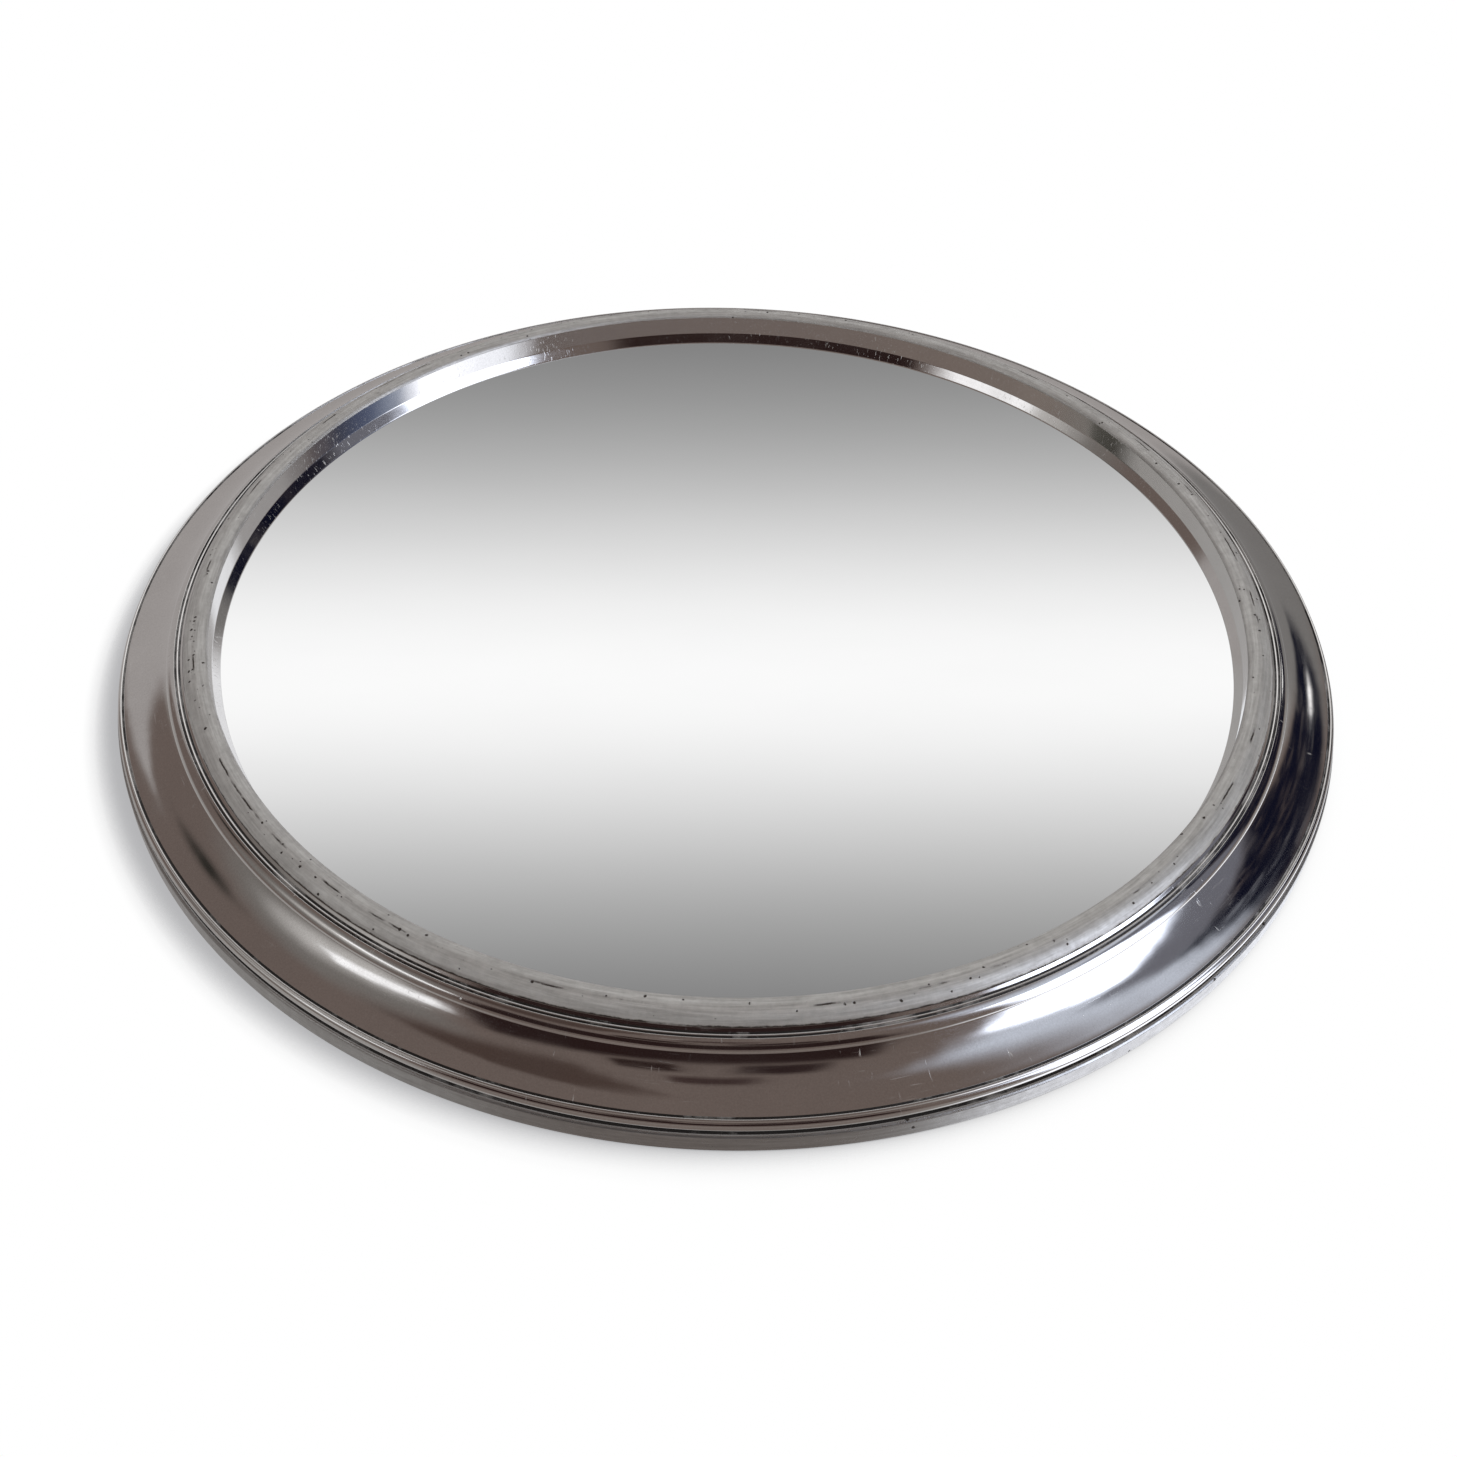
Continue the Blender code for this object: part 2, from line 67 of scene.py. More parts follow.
def tint(hexText):
    # sRGB hex to linear RGBA
    channels = [int(hexText[i:i + 2], 16) / 255 for i in (0, 2, 4)]
    return (*[c / 12.92 if c <= 0.04045 else ((c + 0.055) / 1.055) ** 2.4 for c in channels], 1.0)


def addNode(tree, kind, inputs=None, **settings):
    node = tree.nodes.new(kind)
    for name, value in settings.items():
        setattr(node, name, value)
    for key, value in (inputs or {}).items():
        if isinstance(value, bpy.types.NodeSocket):
            tree.links.new(value, node.inputs[key])
        else:
            node.inputs[key].default_value = value
    return node


def newMaterial(name, **sockets):
    material = bpy.data.materials.new(name)
    material.use_nodes = True
    shader = material.node_tree.nodes["Principled BSDF"]
    for key, value in sockets.items():
        shader.inputs[key.replace("_", " ")].default_value = value
    return material, material.node_tree, shader


def newPiece(name, points, edges=(), faces=()):
    mesh = bpy.data.meshes.new(name)
    mesh.from_pydata(points, edges, faces)
    piece = bpy.data.objects.new(name, mesh)
    scene.collection.objects.link(piece)
    return piece


def bake(piece):
    # modifiers become plain mesh
    bpy.context.view_layer.update()
    graph = bpy.context.evaluated_depsgraph_get()
    mesh = bpy.data.meshes.new_from_object(piece.evaluated_get(graph))
    mesh.name = piece.name
    piece.modifiers.clear()
    piece.data = mesh
    return piece


def newTree(name, inputs):
    tree = bpy.data.node_groups.new(name, "GeometryNodeTree")
    tree.interface.new_socket("Geometry", in_out="INPUT", socket_type="NodeSocketGeometry")
    for label, kind in inputs.items():
        tree.interface.new_socket(label, in_out="INPUT", socket_type="NodeSocket" + kind)
    tree.interface.new_socket("Geometry", in_out="OUTPUT", socket_type="NodeSocketGeometry")
    return tree, addNode(tree, "NodeGroupInput").outputs


def endTree(tree, geometry, material):
    # every tree ends in real mesh with its finish
    realised = addNode(tree, "GeometryNodeRealizeInstances", {"Geometry": geometry})
    finished = addNode(tree, "GeometryNodeSetMaterial", {"Geometry": realised.outputs["Geometry"], "Material": material})
    addNode(tree, "NodeGroupOutput", {"Geometry": finished.outputs["Geometry"]})


def runTree(piece, tree, values):
    modifier = piece.modifiers.new(tree.name, "NODES")
    modifier.node_group = tree
    for item in tree.interface.items_tree:
        if item.in_out == "INPUT" and item.name in values:
            modifier[item.identifier] = values[item.name]
    return bake(piece)


def outward(piece):
    # doubles merged, then faces turned to point out
    form = bmesh.new()
    form.from_mesh(piece.data)
    bmesh.ops.remove_doubles(form, verts=form.verts, dist=1e-6)
    bmesh.ops.dissolve_degenerate(form, edges=form.edges, dist=1e-6)
    bmesh.ops.recalc_face_normals(form, faces=form.faces)
    form.to_mesh(piece.data)
    form.free()
    return piece


def combine(piece, operation, *others):
    for other in others:
        boolean = piece.modifiers.new(operation, "BOOLEAN")
        boolean.operation = operation
        boolean.solver = "EXACT"
        boolean.object = other
    bake(piece)
    for other in others:
        bpy.data.objects.remove(other)
    return piece


def roundEdges(piece, width, segments=3, angle=35):
    bevel = piece.modifiers.new("edges", "BEVEL")
    bevel.width = width * mm
    bevel.segments = segments
    bevel.limit_method = "ANGLE"
    bevel.angle_limit = math.radians(angle)
    return bake(piece)


def dress(piece, material, angle=32):
    outward(piece)
    piece.data.materials.clear()
    piece.data.materials.append(material)
    piece.data.shade_smooth()
    piece.data.set_sharp_from_angle(angle=math.radians(angle))
    return piece


def place(piece, matrix):
    piece.data.transform(matrix)
    return piece


def arcPoints(start, end, crown, count):
    # points after start of an arc that stands crown to the left of the chord
    start, end = Vector(start), Vector(end)
    chord = end - start
    left = Vector((-chord.y, chord.x)).normalized()
    radius = chord.length_squared / (8 * crown) + crown / 2
    centre = (start + end) / 2 + left * (crown - radius)
    side = 1 if crown > 0 else -1
    sweep = -2 * side * math.atan2(chord.length / 2, side * (radius - crown))
    spoke = start - centre
    return [tuple(centre + Matrix.Rotation(sweep * i / count, 2) @ spoke) for i in range(1, count + 1)]


def oblong(left, near, right, far):
    return [(left, near), (right, near), (right, far), (left, far)]


def roundedOutline(corners, radii, count=8):
    points = []
    for i, corner in enumerate(corners):
        here = Vector(corner)
        back = (Vector(corners[i - 1]) - here).normalized()
        ahead = (Vector(corners[(i + 1) % len(corners)]) - here).normalized()
        if radii[i] == 0:
            points.append(tuple(here))
            continue
        half = back.angle(ahead) / 2
        centre = here + (back + ahead).normalized() * radii[i] / math.sin(half)
        spoke = here + back * radii[i] / math.tan(half) - centre
        for k in range(count + 1):
            points.append(tuple(centre + Matrix.Rotation((math.pi - 2 * half) * k / count, 2) @ spoke))
    return points


def drawnIn(corners, inset):
    moved = []
    for i, corner in enumerate(corners):
        here = Vector(corner)
        back = (Vector(corners[i - 1]) - here).normalized()
        ahead = (Vector(corners[(i + 1) % len(corners)]) - here).normalized()
        moved.append(tuple(here + (back + ahead).normalized() * inset / math.sin(back.angle(ahead) / 2)))
    return moved


def loft(name, loops):
    # skin over anticlockwise loops of points in mm, closed at both ends
    count = len(loops[0])
    points = [(x * mm, y * mm, z * mm) for loop in loops for x, y, z in loop]
    faces = [list(range(count))[::-1], list(range(len(points) - count, len(points)))]
    for low in range(0, len(points) - count, count):
        faces += [[low + i, low + (i + 1) % count, low + count + (i + 1) % count, low + count + i]
                  for i in range(count)]
    return newPiece(name, points, faces=faces)


def slab(name, outline, bottom, top):
    return loft(name, [[(x, y, z) for x, y in outline] for z in (bottom, top)])


# Sweeps a profile wire, drawn as (radius, -height), round the Z axis
turnedTree, entry = newTree("turnedPiece", {"Steps": "Int", "Base Radius": "Float", "Material": "Material"})
wire = addNode(turnedTree, "GeometryNodeMeshToCurve", {"Mesh": entry["Geometry"]})
circle = addNode(turnedTree, "GeometryNodeCurvePrimitiveCircle",
                 {"Resolution": entry["Steps"], "Radius": entry["Base Radius"]})
upright = addNode(turnedTree, "GeometryNodeSetCurveNormal", {"Curve": circle.outputs["Curve"]}, mode="Z_UP")
swept = addNode(turnedTree, "GeometryNodeCurveToMesh",
                {"Curve": upright.outputs["Curve"], "Profile Curve": wire.outputs["Curve"]})
welded = addNode(turnedTree, "GeometryNodeMergeByDistance", {"Geometry": swept.outputs["Mesh"], "Distance": 1e-7})
endTree(turnedTree, welded.outputs["Geometry"], entry["Material"])


def turned(name, profile, steps, material, closed=False):
    # profile of (radius, height) in mm
    base = max(radius for radius, height in profile)
    edges = [(i, i + 1) for i in range(len(profile) - 1)]
    if closed:
        edges.append((len(profile) - 1, 0))
    piece = newPiece(name, [((radius - base) * mm, -height * mm, 0) for radius, height in profile], edges)
    station = piece.data.attributes.new("station", "INT", "POINT")
    station.data.foreach_set("value", list(range(len(profile))))
    return runTree(piece, turnedTree, {"Steps": steps, "Base Radius": base * mm, "Material": material})


# Copies a shape round the Z axis, each copy turned Twist further than the last
ringTree, entry = newTree("ringPattern", {"Count": "Int", "Radius": "Float", "Start": "Float", "Twist": "Float",
                                          "Material": "Material"})
spots = addNode(ringTree, "GeometryNodeMeshCircle", {"Vertices": entry["Count"], "Radius": entry["Radius"]})
step = addNode(ringTree, "ShaderNodeMath", {0: 2 * math.pi, 1: entry["Count"]}, operation="DIVIDE")
perCopy = addNode(ringTree, "ShaderNodeMath", {0: step.outputs[0], 1: entry["Twist"]}, operation="ADD")
order = addNode(ringTree, "GeometryNodeInputIndex")
angle = addNode(ringTree, "ShaderNodeMath", {0: order.outputs[0], 1: perCopy.outputs[0], 2: entry["Twist"]},
                operation="MULTIPLY_ADD")
facing = addNode(ringTree, "ShaderNodeCombineXYZ", {"Z": angle.outputs[0]})
copies = addNode(ringTree, "GeometryNodeInstanceOnPoints",
                 {"Points": spots.outputs["Mesh"], "Instance": entry["Geometry"], "Rotation": facing.outputs[0]})
firstTurn = addNode(ringTree, "ShaderNodeCombineXYZ", {"Z": entry["Start"]})
started = addNode(ringTree, "GeometryNodeTransform",
                  {"Geometry": copies.outputs["Instances"], "Rotation": firstTurn.outputs[0]})
endTree(ringTree, started.outputs["Geometry"], entry["Material"])

# Copies a shape over a grid of columns and rows about a centre
gridTree, entry = newTree("gridPattern", {"Columns": "Int", "Rows": "Int", "Width": "Float", "Length": "Float",
                                          "Centre": "Vector", "Material": "Material"})
spots = addNode(gridTree, "GeometryNodeMeshGrid", {"Size X": entry["Width"], "Size Y": entry["Length"],
                                                   "Vertices X": entry["Columns"], "Vertices Y": entry["Rows"]})
copies = addNode(gridTree, "GeometryNodeInstanceOnPoints",
                 {"Points": spots.outputs["Mesh"], "Instance": entry["Geometry"]})
moved = addNode(gridTree, "GeometryNodeTransform",
                {"Geometry": copies.outputs["Instances"], "Translation": entry["Centre"]})
endTree(gridTree, moved.outputs["Geometry"], entry["Material"])
print("node trees made")


# Materials

# Aluminium, turned then mop-polished: near-mirror silver with a little haze, turning lines, hairs and nicks
def polishedAluminium(name, wipe):
    material, tree, shader = newMaterial(name, Metallic=1.0)
    turnedCoord = addNode(tree, "ShaderNodeAttribute", attribute_name="turned").outputs["Vector"]
    objectCoord = addNode(tree, "ShaderNodeTexCoord").outputs["Object"]
    # haze in patches about 14 mm wide
    haze = addNode(tree, "ShaderNodeTexNoise", {"Vector": objectCoord, "Scale": 1 / (14 * mm), "Detail": 5.0})
    # turning lines run round the piece, about 0.5 mm apart so that they show
    around = addNode(tree, "ShaderNodeMapping", {"Vector": turnedCoord, "Scale": (12, 12, 1 / (0.5 * mm))})
    lines = addNode(tree, "ShaderNodeTexNoise", {"Vector": around.outputs["Vector"], "Scale": 1.0, "Detail": 3.0})
    # hair scratches cross the moulding, about 0.7 mm apart
    across = addNode(tree, "ShaderNodeMapping",
                     {"Vector": turnedCoord, "Scale": (1 / (0.7 * mm), 1 / (0.7 * mm), 1 / (4 * mm))})
    hairs = addNode(tree, "ShaderNodeTexNoise", {"Vector": across.outputs["Vector"], "Scale": 1.0, "Detail": 2.0,
                                                 "Distortion": 0.3})
    hairPick = addNode(tree, "ShaderNodeMapRange",
                       {"Value": hairs.outputs["Fac"], "From Min": 0.70, "From Max": 0.80})
    # short wipes along the piece
    long = 1 / (wipe["length"] * mm)
    along = addNode(tree, "ShaderNodeMapping", {"Vector": turnedCoord, "Scale": (long, long, 1 / (wipe["width"] * mm))})
    wipes = addNode(tree, "ShaderNodeTexNoise", {"Vector": along.outputs["Vector"], "Scale": 1.0, "Detail": 1.0,
                                                 "Distortion": 0.5})
    wipePick = addNode(tree, "ShaderNodeMapRange", {"Value": wipes.outputs["Fac"], "From Min": wipe["least"],
                                                    "From Max": wipe["least"] + 0.07, "To Max": wipe["depth"]})
    # nicks about 0.5 mm wide, one in five of cells 9 mm apart
    cells = addNode(tree, "ShaderNodeTexVoronoi", {"Vector": objectCoord, "Scale": 1 / (9 * mm)})
    chance = addNode(tree, "ShaderNodeSeparateColor", {"Color": cells.outputs["Color"]})
    reach = addNode(tree, "ShaderNodeMapRange", {"Value": chance.outputs["Red"], "From Min": 0.80, "From Max": 1.0,
                                                 "To Min": 0.0, "To Max": 0.045})
    inside = addNode(tree, "ShaderNodeMath", {0: reach.outputs["Result"], 1: cells.outputs["Distance"]},
                     operation="SUBTRACT")
    nicks = addNode(tree, "ShaderNodeMapRange", {"Value": inside.outputs["Value"], "From Min": 0.0, "From Max": 0.02})
    scratches = addNode(tree, "ShaderNodeMath", {0: hairPick.outputs["Result"], 1: wipePick.outputs["Result"]},
                        operation="MAXIMUM")
    # scratches gather in patches about 30 mm wide
    patches = addNode(tree, "ShaderNodeTexNoise", {"Vector": objectCoord, "Scale": 1 / (30 * mm), "Detail": 3.0})
    rubbed = addNode(tree, "ShaderNodeMapRange", {"Value": patches.outputs["Fac"], "From Min": 0.47, "From Max": 0.63,
                                                  "To Min": 0.08})
    marks = addNode(tree, "ShaderNodeMath", {0: scratches.outputs["Value"], 1: rubbed.outputs["Result"]},
                    operation="MULTIPLY")
    damage = addNode(tree, "ShaderNodeMath", {0: marks.outputs["Value"], 1: nicks.outputs["Result"]},
                     operation="MAXIMUM")
    # fine grain of the mop, drawn 0.45 mm wide so that it shows
    grain = addNode(tree, "ShaderNodeTexNoise", {"Vector": objectCoord, "Scale": 1 / (0.45 * mm), "Detail": 2.0})
    oxide = addNode(tree, "ShaderNodeMapRange", {"Value": damage.outputs["Value"], "To Min": 1.0, "To Max": 0.45})
    tree.links.new(oxide.outputs["Result"], shader.inputs["Metallic"])
    rough = addNode(tree, "ShaderNodeMapRange",
                    {"Value": haze.outputs["Fac"], "From Min": 0.3, "From Max": 0.75, "To Min": 0.05, "To Max": 0.13})
    roughLines = addNode(tree, "ShaderNodeMath", {0: lines.outputs["Fac"], 1: 0.04, 2: rough.outputs["Result"]},
                         operation="MULTIPLY_ADD")
    roughMarks = addNode(tree, "ShaderNodeMath", {0: damage.outputs["Value"], 1: 0.14, 2: roughLines.outputs["Value"]},
                         operation="MULTIPLY_ADD")
    tree.links.new(roughMarks.outputs["Value"], shader.inputs["Roughness"])
    speckled = addNode(tree, "ShaderNodeMix", {"Factor": 0.6, 2: haze.outputs["Fac"], 3: grain.outputs["Fac"]})
    shade = addNode(tree, "ShaderNodeMix", {"Factor": speckled.outputs[0], 6: tint("EFEDEB"), 7: tint("C9C6C4")},
                    data_type="RGBA")
    tree.links.new(shade.outputs[2], shader.inputs["Base Color"])
    # a hand-held mop leaves the surface a little wavy, about 20 mm from crest to crest
    waves = addNode(tree, "ShaderNodeTexNoise", {"Vector": objectCoord, "Scale": 1 / (20 * mm), "Detail": 2.0})
    waveBump = addNode(tree, "ShaderNodeBump", {"Height": waves.outputs["Fac"], "Strength": 1.0, "Distance": 0.13 * mm})
    lineBump = addNode(tree, "ShaderNodeBump", {"Height": lines.outputs["Fac"], "Strength": 0.25, "Distance": 0.012 * mm,
                                                "Normal": waveBump.outputs["Normal"]})
    markBump = addNode(tree, "ShaderNodeBump", {"Height": damage.outputs["Value"], "Strength": 0.5,
                                                "Distance": 0.03 * mm, "Normal": lineBump.outputs["Normal"]},
                       invert=True)
    tree.links.new(markBump.outputs["Normal"], shader.inputs["Normal"])
    return material


# Aluminium left to wear and oxidise: dull satin grey, with turning lines, pits and grime in them
def wornAluminium(name, finish):
    material, tree, shader = newMaterial(name, Metallic=finish["metallic"])
    turnedCoord = addNode(tree, "ShaderNodeAttribute", attribute_name="turned").outputs["Vector"]
    objectCoord = addNode(tree, "ShaderNodeTexCoord").outputs["Object"]
    cloud = addNode(tree, "ShaderNodeTexNoise", {"Vector": objectCoord, "Scale": 1 / (2.2 * mm), "Detail": 8.0,
                                                 "Roughness": 0.75})
    around = addNode(tree, "ShaderNodeMapping", {"Vector": turnedCoord, "Scale": (16, 16, 1 / (0.45 * mm))})
    lines = addNode(tree, "ShaderNodeTexNoise", {"Vector": around.outputs["Vector"], "Scale": 1.0, "Detail": 4.0})
    # rubbed streaks about 14 mm long and 0.6 mm wide
    alongPiece = addNode(tree, "ShaderNodeMapping",
                         {"Vector": turnedCoord, "Scale": (1 / (14 * mm), 1 / (14 * mm), 1 / (0.6 * mm))})
    streaks = addNode(tree, "ShaderNodeTexNoise", {"Vector": alongPiece.outputs["Vector"], "Scale": 1.0, "Detail": 5.0,
                                                   "Roughness": 0.65})
    height = addNode(tree, "ShaderNodeSeparateXYZ", {"Vector": turnedCoord}).outputs["Z"]
    # pits are few, but crowd in patches along one band of the section
    offBand = addNode(tree, "ShaderNodeMath", {0: height, 1: finish["pitBand"] * mm}, operation="SUBTRACT")
    nearBand = addNode(tree, "ShaderNodeMath", {0: offBand.outputs[0]}, operation="ABSOLUTE")
    inBand = addNode(tree, "ShaderNodeMapRange", {"Value": nearBand.outputs[0], "From Min": 0.3 * mm,
                                                  "From Max": 1.6 * mm, "To Min": 1.0, "To Max": 0.0})
    patches = addNode(tree, "ShaderNodeTexNoise", {"Vector": objectCoord, "Scale": 1 / (9 * mm), "Detail": 3.0})
    crowded = addNode(tree, "ShaderNodeMapRange", {"Value": patches.outputs["Fac"], "From Min": 0.42, "From Max": 0.62,
                                                   "To Max": finish["pitCrowd"]})
    crowd = addNode(tree, "ShaderNodeMath", {0: inBand.outputs["Result"], 1: crowded.outputs["Result"]},
                    operation="MULTIPLY")
    pitFree = addNode(tree, "ShaderNodeMath", {0: finish["pitFree"], 1: crowd.outputs["Value"]}, operation="SUBTRACT")
    cells = addNode(tree, "ShaderNodeTexVoronoi", {"Vector": objectCoord, "Scale": 1 / (finish["pitSize"] * mm)})
    chance = addNode(tree, "ShaderNodeSeparateColor", {"Color": cells.outputs["Color"]})
    reach = addNode(tree, "ShaderNodeMapRange", {"Value": chance.outputs["Red"], "From Min": pitFree.outputs["Value"],
                                                 "From Max": 1.0, "To Min": 0.15, "To Max": 0.68}, clamp=False)
    ragged = addNode(tree, "ShaderNodeTexNoise", {"Vector": objectCoord, "Scale": 1 / (0.5 * mm), "Detail": 3.0})
    edge = addNode(tree, "ShaderNodeMath", {0: ragged.outputs["Fac"], 1: 0.5, 2: cells.outputs["Distance"]},
                   operation="MULTIPLY_ADD")
    inside = addNode(tree, "ShaderNodeMath", {0: reach.outputs["Result"], 1: edge.outputs["Value"]}, operation="SUBTRACT")
    pits = addNode(tree, "ShaderNodeMapRange", {"Value": inside.outputs["Value"], "From Min": -0.05, "From Max": 0.08})
    marks = pits.outputs["Result"]
    # grime gathers in a ragged line at each of these places across the section
    for middle, half, thin in finish["grimeLines"]:
        drift = addNode(tree, "ShaderNodeTexNoise", {"Vector": objectCoord, "Scale": 1 / (3 * mm), "Detail": 6.0,
                                                     "Roughness": 0.75})
        sway = addNode(tree, "ShaderNodeMath", {0: drift.outputs["Fac"], 1: 2.4 * half * mm, 2: height},
                       operation="MULTIPLY_ADD")
        off = addNode(tree, "ShaderNodeMath", {0: sway.outputs["Value"], 1: (middle + 1.2 * half) * mm},
                      operation="SUBTRACT")
        gap = addNode(tree, "ShaderNodeMath", {0: off.outputs["Value"]}, operation="ABSOLUTE")
        line = addNode(tree, "ShaderNodeMapRange", {"Value": gap.outputs["Value"], "From Min": 0.35 * half * mm,
                                                    "From Max": half * mm, "To Min": 1.0, "To Max": 0.0})
        breaks = addNode(tree, "ShaderNodeTexNoise", {"Vector": objectCoord, "Scale": 1 / (11 * mm), "Detail": 5.0})
        kept = addNode(tree, "ShaderNodeMapRange", {"Value": breaks.outputs["Fac"], "From Min": thin,
                                                    "From Max": thin + 0.08})
        share = addNode(tree, "ShaderNodeMath", {0: line.outputs["Result"], 1: kept.outputs["Result"]},
                        operation="MULTIPLY")
        marks = addNode(tree, "ShaderNodeMath", {0: marks, 1: share.outputs["Value"]}, operation="MAXIMUM").outputs[0]
    worn = addNode(tree, "ShaderNodeMix", {"Factor": 0.65, 2: cloud.outputs["Fac"], 3: streaks.outputs["Fac"]})
    fade = addNode(tree, "ShaderNodeMapRange", {"Value": worn.outputs[0], "From Min": 0.36, "From Max": 0.64})
    base = addNode(tree, "ShaderNodeMix", {"Factor": fade.outputs["Result"], 6: tint(finish["light"]),
                                           7: tint(finish["dark"])}, data_type="RGBA")
    grimy = addNode(tree, "ShaderNodeMix", {"Factor": marks, 6: base.outputs[2], 7: tint(finish["grime"])},
                    data_type="RGBA")
    tree.links.new(grimy.outputs[2], shader.inputs["Base Color"])
    rough = addNode(tree, "ShaderNodeMapRange", {"Value": cloud.outputs["Fac"], "From Min": 0.3, "From Max": 0.7,
                                                 "To Min": finish["rough"][0], "To Max": finish["rough"][1]})
    tree.links.new(rough.outputs["Result"], shader.inputs["Roughness"])
    lineBump = addNode(tree, "ShaderNodeBump", {"Height": lines.outputs["Fac"], "Strength": 0.5, "Distance": 0.03 * mm})
    cloudBump = addNode(tree, "ShaderNodeBump", {"Height": cloud.outputs["Fac"], "Strength": 0.5, "Distance": finish["grain"] * mm,
                                                 "Normal": lineBump.outputs["Normal"]})
    pitBump = addNode(tree, "ShaderNodeBump", {"Height": marks, "Strength": 0.8, "Distance": 0.12 * mm,
                                               "Normal": cloudBump.outputs["Normal"]}, invert=True)
    tree.links.new(pitBump.outputs["Normal"], shader.inputs["Normal"])
    return material


# Dried polish and grime in the turned grooves: near black and dull, with bare metal where it is rubbed out; where it
# runs onto the ledge under the bead it is also painted shade
def grooveGrime():
    material, tree, shader = newMaterial("polishGrime", Roughness=0.62)
    objectCoord = addNode(tree, "ShaderNodeTexCoord").outputs["Object"]
    crumbs = addNode(tree, "ShaderNodeTexNoise", {"Vector": objectCoord, "Scale": 1 / (3 * mm), "Detail": 6.0})
    dark = addNode(tree, "ShaderNodeMix", {"Factor": crumbs.outputs["Fac"], 6: tint("060505"), 7: tint("26211E")},
                   data_type="RGBA")
    # rubbed bare in places, more so towards the far side, so that the line breaks
    rubbed = addNode(tree, "ShaderNodeTexNoise", {"Vector": objectCoord, "Scale": 1 / (24 * mm), "Detail": 7.0,
                                                  "Roughness": 0.7})
    depth = addNode(tree, "ShaderNodeSeparateXYZ", {"Vector": objectCoord}).outputs["Y"]
    farther = addNode(tree, "ShaderNodeMapRange", {"Value": depth, "From Min": -150 * mm, "From Max": 120 * mm,
                                                   "To Min": -0.10, "To Max": 0.10})
    wiped = addNode(tree, "ShaderNodeMath", {0: rubbed.outputs["Fac"], 1: farther.outputs["Result"]}, operation="ADD")
    bare = addNode(tree, "ShaderNodeMapRange", {"Value": wiped.outputs[0], "From Min": 0.46, "From Max": 0.60,
                                                "To Max": 0.78}).outputs["Result"]
    shade = addNode(tree, "ShaderNodeMix", {"Factor": bare, 6: dark.outputs[2], 7: tint("C2BFBC")}, data_type="RGBA")
    tree.links.new(shade.outputs[2], shader.inputs["Base Color"])
    rough = addNode(tree, "ShaderNodeMapRange", {"Value": bare, "To Min": 0.62, "To Max": 0.32})
    tree.links.new(rough.outputs["Result"], shader.inputs["Roughness"])
    tree.links.new(bare, shader.inputs["Metallic"])
    return material


# Plate glass silvered at its back: a clear, neutral reflection with a trace of cloth marks
def silveredGlass():
    material, tree, shader = newMaterial("silveredGlass", Metallic=1.0, Roughness=0.0)
    objectCoord = addNode(tree, "ShaderNodeTexCoord").outputs["Object"]
    wiped = addNode(tree, "ShaderNodeMapping", {"Vector": objectCoord, "Rotation": (0, 0, 0.5),
                                                "Scale": (1 / (60 * mm), 1 / (22 * mm), 1)})
    smears = addNode(tree, "ShaderNodeTexNoise", {"Vector": wiped.outputs["Vector"], "Scale": 1.0, "Detail": 3.0})
    shade = addNode(tree, "ShaderNodeMix", {"Factor": smears.outputs["Fac"], 6: tint("F5F5F5"), 7: tint("F1F1F1")},
                    data_type="RGBA")
    tree.links.new(shade.outputs[2], shader.inputs["Base Color"])
    return material


